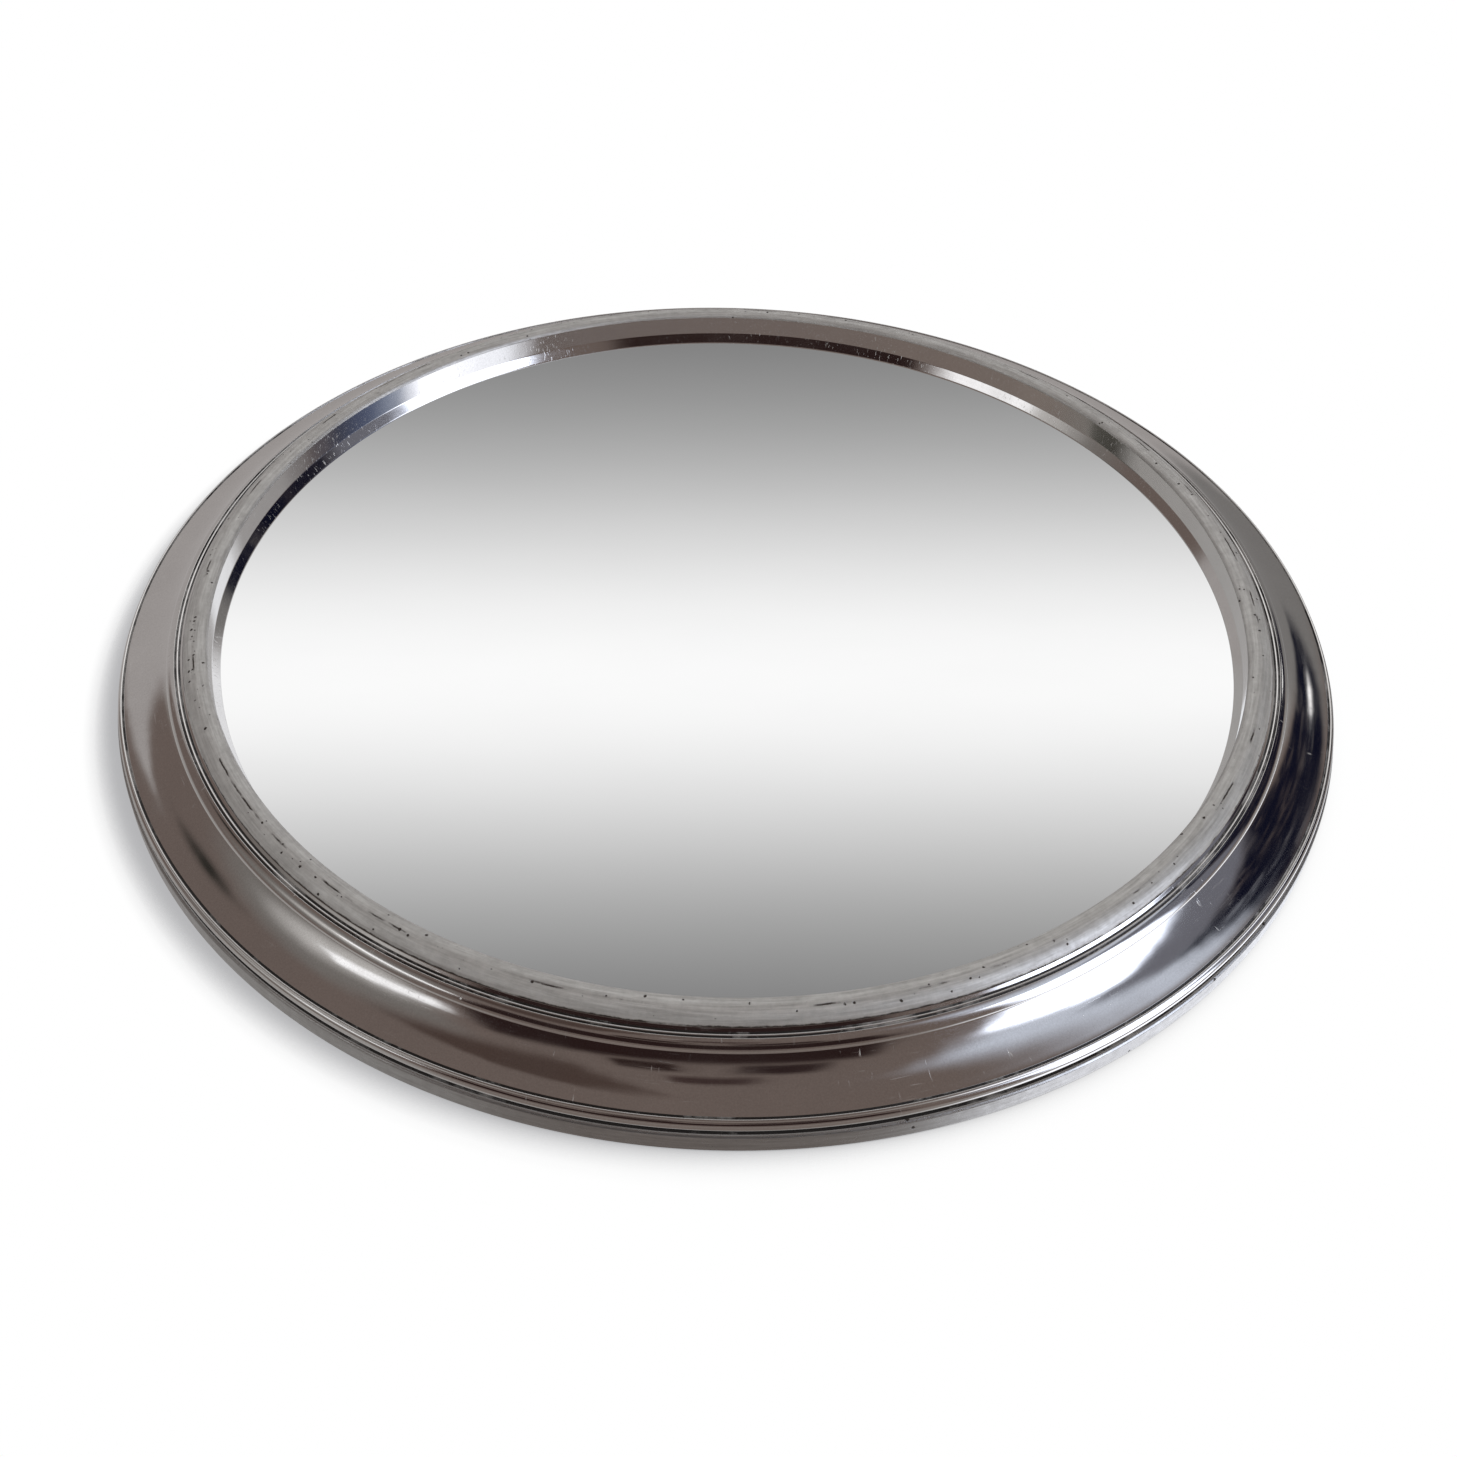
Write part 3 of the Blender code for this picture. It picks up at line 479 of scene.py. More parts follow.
# Steel sheet, pressed and zinc plated: cool satin grey with soft crystals and rubbed scratches
def zincSteel():
    material, tree, shader = newMaterial("zincPlatedSteel", Metallic=1.0)
    objectCoord = addNode(tree, "ShaderNodeTexCoord").outputs["Object"]
    # zinc crystals, drawn 2.5 mm wide so that they show
    crystals = addNode(tree, "ShaderNodeTexVoronoi", {"Vector": objectCoord, "Scale": 1 / (2.5 * mm)})
    chance = addNode(tree, "ShaderNodeSeparateColor", {"Color": crystals.outputs["Color"]})
    bloom = addNode(tree, "ShaderNodeTexNoise", {"Vector": objectCoord, "Scale": 1 / (8 * mm), "Detail": 8.0,
                                                 "Roughness": 0.65})
    dulled = addNode(tree, "ShaderNodeMapRange", {"Value": bloom.outputs["Fac"], "From Min": 0.38, "From Max": 0.74})
    grain = addNode(tree, "ShaderNodeMix", {"Factor": chance.outputs["Red"], 6: tint("BFC1C3"), 7: tint("ABADAF")},
                    data_type="RGBA")
    aged = addNode(tree, "ShaderNodeMix", {"Factor": dulled.outputs["Result"], 6: grain.outputs[2], 7: tint("A5A4A1")},
                   data_type="RGBA")
    tree.links.new(aged.outputs[2], shader.inputs["Base Color"])
    rub = addNode(tree, "ShaderNodeMapping", {"Vector": objectCoord, "Rotation": (0, 0, 0.35),
                                              "Scale": (1 / (0.5 * mm), 1 / (14 * mm), 1 / (0.5 * mm))})
    scratches = addNode(tree, "ShaderNodeTexNoise", {"Vector": rub.outputs["Vector"], "Scale": 1.0, "Detail": 2.0})
    picked = addNode(tree, "ShaderNodeMapRange", {"Value": scratches.outputs["Fac"], "From Min": 0.64, "From Max": 0.74})
    rough = addNode(tree, "ShaderNodeMapRange", {"Value": dulled.outputs["Result"], "To Min": 0.31, "To Max": 0.43})
    rougher = addNode(tree, "ShaderNodeMath", {0: chance.outputs["Green"], 1: 0.08, 2: rough.outputs["Result"]},
                      operation="MULTIPLY_ADD")
    tree.links.new(rougher.outputs["Value"], shader.inputs["Roughness"])
    grainBump = addNode(tree, "ShaderNodeBump", {"Height": bloom.outputs["Fac"], "Strength": 0.5, "Distance": 0.05 * mm})
    rubBump = addNode(tree, "ShaderNodeBump", {"Height": picked.outputs["Result"], "Strength": 0.4, "Distance": 0.02 * mm,
                                               "Normal": grainBump.outputs["Normal"]}, invert=True)
    tree.links.new(rubBump.outputs["Normal"], shader.inputs["Normal"])
    return material


# Rubber, moulded: matt near-black with a fine grain and a little grey dust
def mouldedRubber():
    material, tree, shader = newMaterial("rubberMoulded", IOR=1.52)
    objectCoord = addNode(tree, "ShaderNodeTexCoord").outputs["Object"]
    dust = addNode(tree, "ShaderNodeTexNoise", {"Vector": objectCoord, "Scale": 1 / (5 * mm), "Detail": 6.0})
    dusty = addNode(tree, "ShaderNodeMapRange", {"Value": dust.outputs["Fac"], "From Min": 0.45, "From Max": 0.75})
    shade = addNode(tree, "ShaderNodeMix", {"Factor": dusty.outputs["Result"], 6: tint("1B1B1A"), 7: tint("383735")},
                    data_type="RGBA")
    tree.links.new(shade.outputs[2], shader.inputs["Base Color"])
    rough = addNode(tree, "ShaderNodeMapRange", {"Value": dust.outputs["Fac"], "To Min": 0.66, "To Max": 0.88})
    tree.links.new(rough.outputs["Result"], shader.inputs["Roughness"])
    grain = addNode(tree, "ShaderNodeTexNoise", {"Vector": objectCoord, "Scale": 1 / (0.4 * mm), "Detail": 2.0})
    bump = addNode(tree, "ShaderNodeBump", {"Height": grain.outputs["Fac"], "Strength": 0.4, "Distance": 0.05 * mm})
    tree.links.new(bump.outputs["Normal"], shader.inputs["Normal"])
    return material


# Hardboard, pressed wet on a wire screen: dark brown fibre with the screen's print on its rough face
def pressedHardboard():
    material, tree, shader = newMaterial("hardboardScreenBack", Roughness=0.82)
    objectCoord = addNode(tree, "ShaderNodeTexCoord").outputs["Object"]
    fibres = addNode(tree, "ShaderNodeTexNoise", {"Vector": objectCoord, "Scale": 1 / (1.2 * mm), "Detail": 6.0,
                                                  "Distortion": 1.5})
    stain = addNode(tree, "ShaderNodeTexNoise", {"Vector": objectCoord, "Scale": 1 / (38 * mm), "Detail": 9.0,
                                                 "Roughness": 0.68})
    # screen wires 1.8 mm apart; a wave repeats every pi / 10 of its scaled coordinate
    wires = []
    for direction in ("X", "Y"):
        wires.append(addNode(tree, "ShaderNodeTexWave", {"Vector": objectCoord, "Scale": math.pi / 10 / (1.8 * mm),
                                                         "Distortion": 0.6, "Detail": 1.0},
                             bands_direction=direction).outputs["Fac"])
    screen = addNode(tree, "ShaderNodeMath", {0: wires[0], 1: wires[1]}, operation="MULTIPLY").outputs[0]
    fibre = addNode(tree, "ShaderNodeMix", {"Factor": fibres.outputs["Fac"], 6: tint("6A4A2F"), 7: tint("A07B57")},
                    data_type="RGBA")
    stained = addNode(tree, "ShaderNodeMapRange", {"Value": stain.outputs["Fac"], "From Min": 0.40, "From Max": 0.66,
                                                   "To Max": 0.45})
    aged = addNode(tree, "ShaderNodeMix", {"Factor": stained.outputs["Result"], 6: fibre.outputs[2], 7: tint("553821")},
                   data_type="RGBA")
    pressed = addNode(tree, "ShaderNodeMapRange", {"Value": screen, "To Min": 0.0, "To Max": 0.35})
    shade = addNode(tree, "ShaderNodeMix", {"Factor": pressed.outputs["Result"], 6: aged.outputs[2], 7: tint("3B2616")},
                    data_type="RGBA")
    tree.links.new(shade.outputs[2], shader.inputs["Base Color"])
    fibreBump = addNode(tree, "ShaderNodeBump", {"Height": fibres.outputs["Fac"], "Strength": 0.5, "Distance": 0.15 * mm})
    screenBump = addNode(tree, "ShaderNodeBump", {"Height": screen, "Strength": 0.7, "Distance": 0.25 * mm,
                                                  "Normal": fibreBump.outputs["Normal"]}, invert=True)
    tree.links.new(screenBump.outputs["Normal"], shader.inputs["Normal"])
    return material


# Grey card, pulped and rolled: dull, with flecks of fibre
def greyCard():
    material, tree, shader = newMaterial("greyCardRolled", Roughness=0.92)
    objectCoord = addNode(tree, "ShaderNodeTexCoord").outputs["Object"]
    flecks = addNode(tree, "ShaderNodeTexNoise", {"Vector": objectCoord, "Scale": 1 / (0.8 * mm), "Detail": 5.0,
                                                  "Distortion": 2.0})
    shade = addNode(tree, "ShaderNodeMix", {"Factor": flecks.outputs["Fac"], 6: tint("8E887E"), 7: tint("A8A297")},
                    data_type="RGBA")
    tree.links.new(shade.outputs[2], shader.inputs["Base Color"])
    bump = addNode(tree, "ShaderNodeBump", {"Height": flecks.outputs["Fac"], "Strength": 0.3, "Distance": 0.05 * mm})
    tree.links.new(bump.outputs["Normal"], shader.inputs["Normal"])
    return material


polished = polishedAluminium("aluminiumPolished", {"length": 7.0, "width": 0.3, "least": 0.70, "depth": 0.35})
wallPolished = polishedAluminium("aluminiumPolishedScratched", {"length": 0.5, "width": 1.4, "least": 0.66, "depth": 1.0})
grime = grooveGrime()
mirrorSilver = silveredGlass()
zinc = zincSteel()
rubber = mouldedRubber()
hardboard = pressedHardboard()
card = greyCard()
print("materials made")


# Frame ring, one turned moulding; sizes in mm
ringSizes = {
    "sightRadius": 133.2, "lipBottom": 11.1, "lipEdge": 0.4,
    "wallRadius": 135.0, "wallFoot": 13.9, "wallBreak": 0.9, "landTop": 20.4,
    "landEnd": (141.6, 17.9), "landCrown": 1.26,
    "quirkRadius": 142.2, "quirkTop": 17.3, "quirkWidth": 0.5, "quirkDepth": 0.6, "quirkFlat": 0.5,
    "ovoloEnd": (146.0, 15.5), "ovoloCrown": 0.3,
    "coveHead": (146.0, 15.1), "coveFoot": (157.6, 9.1), "coveHollow": 1.1,
    "beadRadius": 158.6, "astragalTop": 9.1, "beadTop": 8.5, "beadBottom": 5.9, "beadCrown": 0.8,
    "grooveDepth": 0.6, "grimeAndShadeReach": 0.55, "rimRadius": 160.0, "rimTop": 5.1, "rimBreak": 0.4,
    "footRadius": 150.0, "ledge": 4.2, "rebateRadius": 138.3,
    "edgeRound": 0.16, "steps": 360,
}
landFinish = {"light": "C9C7C4", "dark": "A19E9B", "grime": "3E3733", "metallic": 0.55, "rough": (0.36, 0.52),
              "grain": 0.05, "pitSize": 1.0, "pitFree": 0.95, "pitCrowd": 0.42}
rimFinish = {"light": "BCBBBA", "dark": "A19F9D", "grime": "4A4541", "metallic": 0.88, "rough": (0.24, 0.36),
             "grain": 0.015, "pitSize": 1.4, "pitFree": 0.985, "pitCrowd": 0.0, "pitBand": 0.0, "grimeLines": []}


def ringProfile(size):
    # closed section, with the zone of each stretch that starts at a point
    quirk, depth, width = size["quirkRadius"], size["quirkDepth"], size["quirkWidth"]
    second = quirk + width + size["quirkFlat"]
    level = size["quirkTop"]
    foot, bead, rim = size["coveFoot"], size["beadRadius"], size["rimRadius"]
    landStart = (size["wallRadius"] + size["wallBreak"], size["landTop"])
    rows = [((size["sightRadius"], size["lipBottom"]), "wall"),
            ((size["sightRadius"], size["lipBottom"] + size["lipEdge"]), "wall"),
            ((size["wallRadius"], size["wallFoot"]), "wall"),
            ((size["wallRadius"], size["landTop"] - size["wallBreak"]), "land")]
    wallTop = rows[-1][0]
    rows += [(p, "land") for p in arcPoints(wallTop, landStart, 0.2 * size["wallBreak"], 6)]
    rows += [(p, "land") for p in arcPoints(landStart, size["landEnd"], size["landCrown"], 22)[:-1]]
    rows += [(size["landEnd"], "polish")]
    for start in (quirk, second):
        rows += [((start, level), "grime"), ((start + width / 2, level - depth), "grime"),
                 ((start + width, level), "polish")]
    rows += [(p, "polish") for p in arcPoints((second + width, level), size["ovoloEnd"], size["ovoloCrown"], 8)]
    rows += [(size["coveHead"], "polish")]
    rows += [(p, "polish") for p in arcPoints(size["coveHead"], foot, -size["coveHollow"], 30)[:-1]]
    rows += [(foot, "grime"), ((foot[0] + width / 2, size["astragalTop"] - depth), "grime"),
             ((foot[0] + width, size["astragalTop"]), "polish"), ((bead, size["astragalTop"]), "polish"),
             ((bead, size["beadTop"]), "polish")]
    rows += [(p, "polish")
             for p in arcPoints((bead, size["beadTop"]), (bead, size["beadBottom"]), size["beadCrown"], 14)[:-1]]
    # the grime runs on over the ledge under the bead's overhang: partly real grime, partly painted shade where the bead
    # shades the ledge
    rows += [((bead, size["beadBottom"]), "grime"),
             ((bead - size["grooveDepth"], size["beadBottom"]), "grime"),
             ((bead - size["grooveDepth"], size["rimTop"]), "grime"),
             ((bead + size["grimeAndShadeReach"], size["rimTop"]), "rim"),
             ((rim - size["rimBreak"], size["rimTop"]), "rim"),
             ((rim, size["rimTop"] - size["rimBreak"]), "rim"),
             ((rim, size["rimBreak"]), "rim"),
             ((rim - size["rimBreak"], 0), "rim"),
             ((size["footRadius"] + size["rimBreak"], 0), "rim"),
             ((size["footRadius"], size["rimBreak"]), "rim"),
             ((size["footRadius"], size["ledge"]), "rim"),
             ((size["rebateRadius"], size["ledge"]), "rim"),
             ((size["rebateRadius"], size["lipBottom"]), "rim")]
    return rows


def roundCorners(rows, radius):
    # each sharp corner becomes a short curve, so that it catches a line of light
    made = []
    for i, (here, zone) in enumerate(rows):
        here = Vector(here)
        back = Vector(rows[i - 1][0]) - here
        ahead = Vector(rows[(i + 1) % len(rows)][0]) - here
        if math.pi - back.angle(ahead) < math.radians(18):
            made.append((tuple(here), zone))
            continue
        reach = min(radius, 0.4 * back.length, 0.4 * ahead.length)
        start, end = here + back.normalized() * reach, here + ahead.normalized() * reach
        # a point a little way off on each side keeps the flats flat
        made.append((tuple(here + back * 1.2 * reach / back.length), rows[i - 1][1]))
        for k, share in enumerate((0, 1 / 3, 2 / 3, 1)):
            point = start * (1 - share) ** 2 + here * 2 * share * (1 - share) + end * share ** 2
            made.append((tuple(point), rows[i - 1][1] if k < 1 else zone))
        made.append((tuple(here + ahead * 1.2 * reach / ahead.length), zone))
    return made


def makeFrameRing(size):
    rows = roundCorners(ringProfile(size), size["edgeRound"])
    points = np.array([point for point, zone in rows])
    strides = np.linalg.norm(np.diff(points, axis=0), axis=1)
    across = np.concatenate([[0], np.cumsum(strides)])
    onLand = [across[i] for i, (point, zone) in enumerate(rows) if zone == "land"]
    # pits crowd over the land's outer half; ragged lines run there and at its edge: place, half width, breaks
    landSatin = wornAluminium("aluminiumLandWorn", dict(landFinish, pitBand=onLand[0] + 4.4,
                                                        grimeLines=[(onLand[-1] + 0.05, 0.45, 0.36),
                                                                    (onLand[0] + 4.0, 0.3, 0.55)]))
    rimSatin = wornAluminium("aluminiumRimWorn", rimFinish)
    ring = turned("frameRing", [tuple(p) for p in points], size["steps"], polished, closed=True)
    mesh = ring.data
    station = np.zeros(len(mesh.vertices), np.int32)
    mesh.attributes["station"].data.foreach_get("value", station)
    corners = np.zeros(len(mesh.loops), np.int32)
    mesh.loops.foreach_get("vertex_index", corners)
    ends = np.sort(station[corners.reshape(-1, 4)], axis=1)
    first = np.where(ends[:, -1] - ends[:, 0] > 1, ends[:, -1], ends[:, 0])
    zones = ["polish", "wall", "land", "grime", "rim"]
    mesh.materials.clear()
    for finish in (polished, wallPolished, landSatin, grime, rimSatin):
        mesh.materials.append(finish)
    ofRow = np.array([zones.index(zone) for point, zone in rows], np.int32)
    mesh.polygons.foreach_set("material_index", ofRow[first])
    # "turned" is the surface rolled out: round the axis at 150 mm, and the way across the section as height
    spots = np.zeros(len(mesh.vertices) * 3, np.float32)
    mesh.vertices.foreach_get("co", spots)
    spots = spots.reshape(-1, 3)
    radial = np.linalg.norm(spots[:, :2], axis=1)[:, None]
    rolled = np.hstack([spots[:, :2] / radial * 150 * mm, across[station][:, None] * mm]).astype(np.float32)
    mesh.attributes.new("turned", "FLOAT_VECTOR", "POINT").data.foreach_set("vector", rolled.ravel())
    mesh.attributes.remove(mesh.attributes["station"])
    outward(ring)
    ring.data.shade_smooth()
    # the photo's glass shows the room alone, so the frame stays out of mirror rays
    ring.visible_glossy = False
    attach(ring, "frame")
    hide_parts("frame_ring")
    print("frame ring:", len(ring.data.polygons), "faces")


makeFrameRing(ringSizes)

# Discs whose CAD shape is right
for node, finish in {"mirror_glass": mirrorSilver, "card_packing": card, "backing_board": hardboard}.items():
    cadNodes[node].data.materials.clear()
    cadNodes[node].data.materials.append(finish)


# Retaining clips and their screws, eight of each round the ledge; sizes in mm
clipSizes = {"count": 8, "firstAngle": 22.5, "inner": 129.3, "outer": 148.5, "width": 12.0, "bottom": 2.9, "top": 3.9,
             "nose": 5.9, "corner": 1.5, "hole": 1.7, "edge": 0.22, "screwCircle": 144.15,
             "ribLength": 7.0, "ribWidth": 3.2, "ribStart": 131.6, "ribDepth": 0.3}
screwSizes = {"shank": 1.4, "root": 1.1, "length": 7.6, "point": 0.7, "pitch": 0.8, "headRadius": 2.8,
              "headHeight": 1.6, "headRound": 0.6, "seat": 2.6, "slotWidth": 0.8, "slotDepth": 0.7, "slotTurn": 37.0,
              "steps": 32}


def cadNames(stem, count):
    return [f"{stem}_{i}" for i in range(1, count + 1)]


def makeClips(size):
    half = size["width"] / 2
    outline = roundedOutline(oblong(size["inner"], -half, size["outer"], half),
                             [size["nose"], size["corner"], size["corner"], size["nose"]])
    clips = slab("retainingClips", outline, size["bottom"], size["top"])
    hole = turned("hole", [(0, size["top"] + 1), (size["hole"], size["top"] + 1), (size["hole"], size["bottom"] - 1),
                           (0, size["bottom"] - 1)], 32, zinc)
    place(outward(hole), Matrix.Translation((size["screwCircle"] * mm, 0, 0)))
    # a pressed rib stiffens the nose
    wide = size["ribWidth"] / 2
    rib = slab("rib", roundedOutline(oblong(size["ribStart"], -wide, size["ribStart"] + size["ribLength"], wide),
                                     [wide * 0.98] * 4), size["bottom"] - 1, size["bottom"] + size["ribDepth"])
    combine(clips, "DIFFERENCE", hole, rib)
    roundEdges(clips, size["edge"])
    runTree(clips, ringTree, {"Count": size["count"], "Radius": 0.0, "Start": math.radians(size["firstAngle"]),
                              "Twist": 0.0, "Material": zinc})
    dress(clips, zinc)
    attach(clips, "frame")
    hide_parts(*cadNames("retaining_clip", size["count"]))


def makeScrews(size, clip):
    # head down, with the underside of the head at height 0
    profile = [(0, size["length"]), (size["root"] * 0.6, size["length"])]
    height = size["length"] - size["point"]
    while height > size["pitch"]:
        profile += [(size["root"], height), (size["shank"], height - size["pitch"] * 0.35),
                    (size["shank"], height - size["pitch"] * 0.5), (size["root"], height - size["pitch"] * 0.85)]
        height -= size["pitch"]
    rim = (size["headRadius"], size["headRound"] - size["headHeight"])
    crown = (size["headRadius"] - 1.6 * size["headRound"], -size["headHeight"])
    profile += [(size["shank"], 0), (size["headRadius"] - 0.15, 0), (size["headRadius"], -0.15), rim]
    profile += arcPoints(rim, crown, 0.2, 6) + [(0, -size["headHeight"])]
    screws = outward(turned("clipScrews", profile, size["steps"], zinc))
    long = size["headRadius"] + 1
    slot = slab("slot", oblong(-long, -size["slotWidth"] / 2, long, size["slotWidth"] / 2),
                -size["headHeight"] - 1, -size["headHeight"] + size["slotDepth"])
    combine(screws, "DIFFERENCE", slot)
    place(screws, Matrix.Translation((0, 0, size["seat"] * mm)))
    runTree(screws, ringTree, {"Count": clip["count"], "Radius": clip["screwCircle"] * mm,
                               "Start": math.radians(clip["firstAngle"]), "Twist": math.radians(size["slotTurn"]),
                               "Material": zinc})
    dress(screws, zinc)
    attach(screws, "frame")
    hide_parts(*cadNames("clip_screw", clip["count"]))


makeClips(clipSizes)
makeScrews(screwSizes, clipSizes)
print("clips and screws made")


# Hinge: leaf with rolled knuckles, peened pin and four rivets; sizes in mm
hingeSizes = {"axisY": 30.0, "axisZ": 2.2, "pin": 0.9, "bore": 1.05, "pinHead": 1.4, "pinHeadLength": 0.6, "gap": 0.3,
              "knuckle": 1.7, "leafWidth": 36.0, "leafStart": 0.4, "leafLength": 24.0, "leafBottom": 2.9, "leafTop": 3.9, "corner": 4.0,
              "windowHalf": 7.0, "windowEdge": 32.0, "edge": 0.2, "seam": (1.42, 1.78), "seamDepth": 0.28, "clear": 0.02,
              "rivetX": 12.0, "rivetY": (36.0, 48.0), "rivetHole": 1.5, "steps": 40}
rivetSizes = {"shank": 1.2, "head": 2.4, "headHeight": 0.8, "seat": 2.6, "boardTop": 6.7, "clench": 2.0,
              "clenchHeight": 0.5, "crown": 0.34}


def lieAlongX(size):
    return Matrix.Translation((0, size["axisY"] * mm, size["axisZ"] * mm)) @ Matrix.Rotation(math.pi / 2, 4, "Y")


def knuckleBar(name, size, radius, low, high, round=0.0):
    profile = [(0, high), (radius - round, high), (radius, high - round), (radius, low + round),
               (radius - round, low), (0, low)]
    if round == 0.0:
        profile = [(0, high), (radius, high), (radius, low), (0, low)]
    return place(outward(turned(name, profile, size["steps"], zinc)), lieAlongX(size))


def makeHinge(size):
    half, window = size["leafWidth"] / 2, size["windowHalf"]
    near, far = size["axisY"] + size["leafStart"], size["axisY"] + size["leafLength"]
    corners = [(-half, near), (-window, near), (-window, size["windowEdge"]), (window, size["windowEdge"]),
               (window, near), (half, near), (half, far), (-half, far)]
    leaf = slab("hingeLeaf", roundedOutline(corners, [0, 0, 0, 0, 0, 0, size["corner"], size["corner"]]),
                size["leafBottom"], size["leafTop"])
    roundEdges(leaf, size["edge"])
    # the rolls stay a hair inside the leaf, so that no two faces lie in one plane
    clear = size["clear"]
    combine(leaf, "UNION",
            knuckleBar("leftRoll", size, size["knuckle"] - clear, clear - half, -window - clear, 0.15),
            knuckleBar("rightRoll", size, size["knuckle"] - clear, window + clear, half - clear, 0.15))
    cutters = [knuckleBar("bore", size, size["bore"], -half - 1, half + 1)]
    for x in (-size["rivetX"], size["rivetX"]):
        for y in size["rivetY"]:
            hole = turned("rivetHole", [(0, 5), (size["rivetHole"], 5), (size["rivetHole"], 2), (0, 2)], 32, zinc)
            cutters.append(place(outward(hole), Matrix.Translation((x * mm, y * mm, 0))))
    # the seam where each roll comes back to the leaf
    seam = (size["axisY"] + size["seam"][0], size["axisY"] + size["seam"][1])
    for low, high in ((-half - 1, 1 - window), (window - 1, half + 1)):
        cutters.append(slab("seam", oblong(low, seam[0], high, seam[1]), size["leafBottom"] - size["seamDepth"],
                            size["leafBottom"] + size["seamDepth"]))
    combine(leaf, "DIFFERENCE", *cutters)
    dress(leaf, zinc)

    end, head = half + size["gap"], size["pinHeadLength"]
    profile = [(0, end + head)] + arcPoints((0, end + head), (size["pinHead"], end + 0.15), 0.28, 8)
    profile += [(size["pinHead"], end), (size["pin"], end)]
    profile += [(radius, -along) for radius, along in reversed(profile)]
    pin = place(outward(turned("hingePin", profile, size["steps"], zinc)), lieAlongX(size))
    dress(pin, zinc)
    for piece, node in ((leaf, "hinge_leaf"), (pin, "hinge_pin")):
        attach(piece, "frame")
        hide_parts(node)


def makeRivets(size, hinge):
    low = size["seat"]
    profile = [(0, size["boardTop"]), (size["clench"] - 0.2, size["boardTop"]),
               (size["clench"], size["boardTop"] - 0.2), (size["clench"], size["boardTop"] - size["clenchHeight"]),
               (size["shank"], size["boardTop"] - size["clenchHeight"]), (size["shank"], low),
               (size["head"] - 0.1, low), (size["head"], low - 0.1)]
    profile += arcPoints(profile[-1], (0, low - size["headHeight"]), size["crown"], 10)
    rivets = outward(turned("hingeRivets", profile, 32, zinc))
    near, far = hinge["rivetY"]
    runTree(rivets, gridTree, {"Columns": 2, "Rows": 2, "Width": 2 * hinge["rivetX"] * mm, "Length": (far - near) * mm,
                               "Centre": (0.0, (near + far) / 2 * mm, 0.0), "Material": zinc})
    dress(rivets, zinc)
    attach(rivets, "frame")
    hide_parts(*cadNames("hinge_rivet", 4))


makeHinge(hingeSizes)
makeRivets(rivetSizes, hingeSizes)
print("hinge made")


# Strut: a pressed, tapered steel leg with a rubber shoe; sizes in mm
strutSizes = {"root": 28.0, "rootHalf": 20.0, "tip": -131.7, "tipHalf": 12.0, "corner": 5.0, "bottom": 1.6, "top": 2.8,
              "flange": 0.8, "flangeWidth": 1.6, "edge": 0.2, "panelInset": 5.2, "panelSlope": 0.5, "panelRise": 0.5, "clear": 0.02,
              "neckHalf": 6.7, "tongueHalf": 7.0, "tongueEnd": -140.7, "toothReach": 2.6, "toothThick": 0.9,
              "toothLean": -34.0}
shoeSizes = {"half": 11.3, "end": -144.0, "start": -132.0, "bottom": 0.5, "top": 3.9, "corner": 4.0, "edge": 0.45,
             "pocketHalf": 7.3, "pocketEnd": -141.0, "pocketBottom": 1.3, "pocketTop": 3.1,
             "grooves": 4, "grooveWidth": 0.9, "grooveDepth": 0.3, "grooveSpan": 6.9, "grooveMiddle": -137.2}


def makeStrut(size, hinge):
    corners = [(-size["tipHalf"], size["tip"]), (size["tipHalf"], size["tip"]),
               (size["rootHalf"], size["root"]), (-size["rootHalf"], size["root"])]
    low, foot = size["bottom"] - size["flange"], size["flangeWidth"]
    # from the raised panel out over the turned-down edge to the top
    steps = [(size["panelInset"] + size["panelSlope"], size["bottom"] - size["panelRise"]),
             (size["panelInset"], size["bottom"]), (foot + 0.2, size["bottom"]), (foot, low), (0, low), (0, size["top"])]
    loops = []
    for inset, level in steps:
        outline = roundedOutline(drawnIn(corners, inset), [max(size["corner"] - inset, 1.4)] * 4)
        loops.append([(x, y, level) for x, y in outline])
    strut = loft("strutLeg", loops)
    roundEdges(strut, size["edge"])
    # joined plates stay a hair inside the sheet, so that no two faces lie in one plane
    sheet = (size["bottom"] + size["clear"], size["top"] - size["clear"])
    neck = slab("neck", oblong(-size["neckHalf"], size["root"] - foot, size["neckHalf"], hinge["axisY"]), *sheet)
    tongue = slab("tongue", oblong(-size["tongueHalf"], size["tongueEnd"], size["tongueHalf"], size["tip"] + foot),
                  *sheet)
    thick = size["toothThick"] / 2
    tooth = slab("tooth", oblong(-size["neckHalf"] / 2, 0, size["neckHalf"] / 2, size["toothReach"]), -thick, thick)
    lean = Matrix.Rotation(math.radians(size["toothLean"]), 4, "X")
    place(tooth, Matrix.Translation((0, hinge["axisY"] * mm, hinge["axisZ"] * mm)) @ lean)
    combine(strut, "UNION", neck, tongue, tooth,
            knuckleBar("roll", hinge, hinge["knuckle"], size["clear"] - size["neckHalf"],
                       size["neckHalf"] - size["clear"], 0.15))
    combine(strut, "DIFFERENCE", knuckleBar("bore", hinge, hinge["bore"], -size["neckHalf"] - 1, size["neckHalf"] + 1))
    dress(strut, zinc)
    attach(strut, "strut")
    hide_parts("strut")


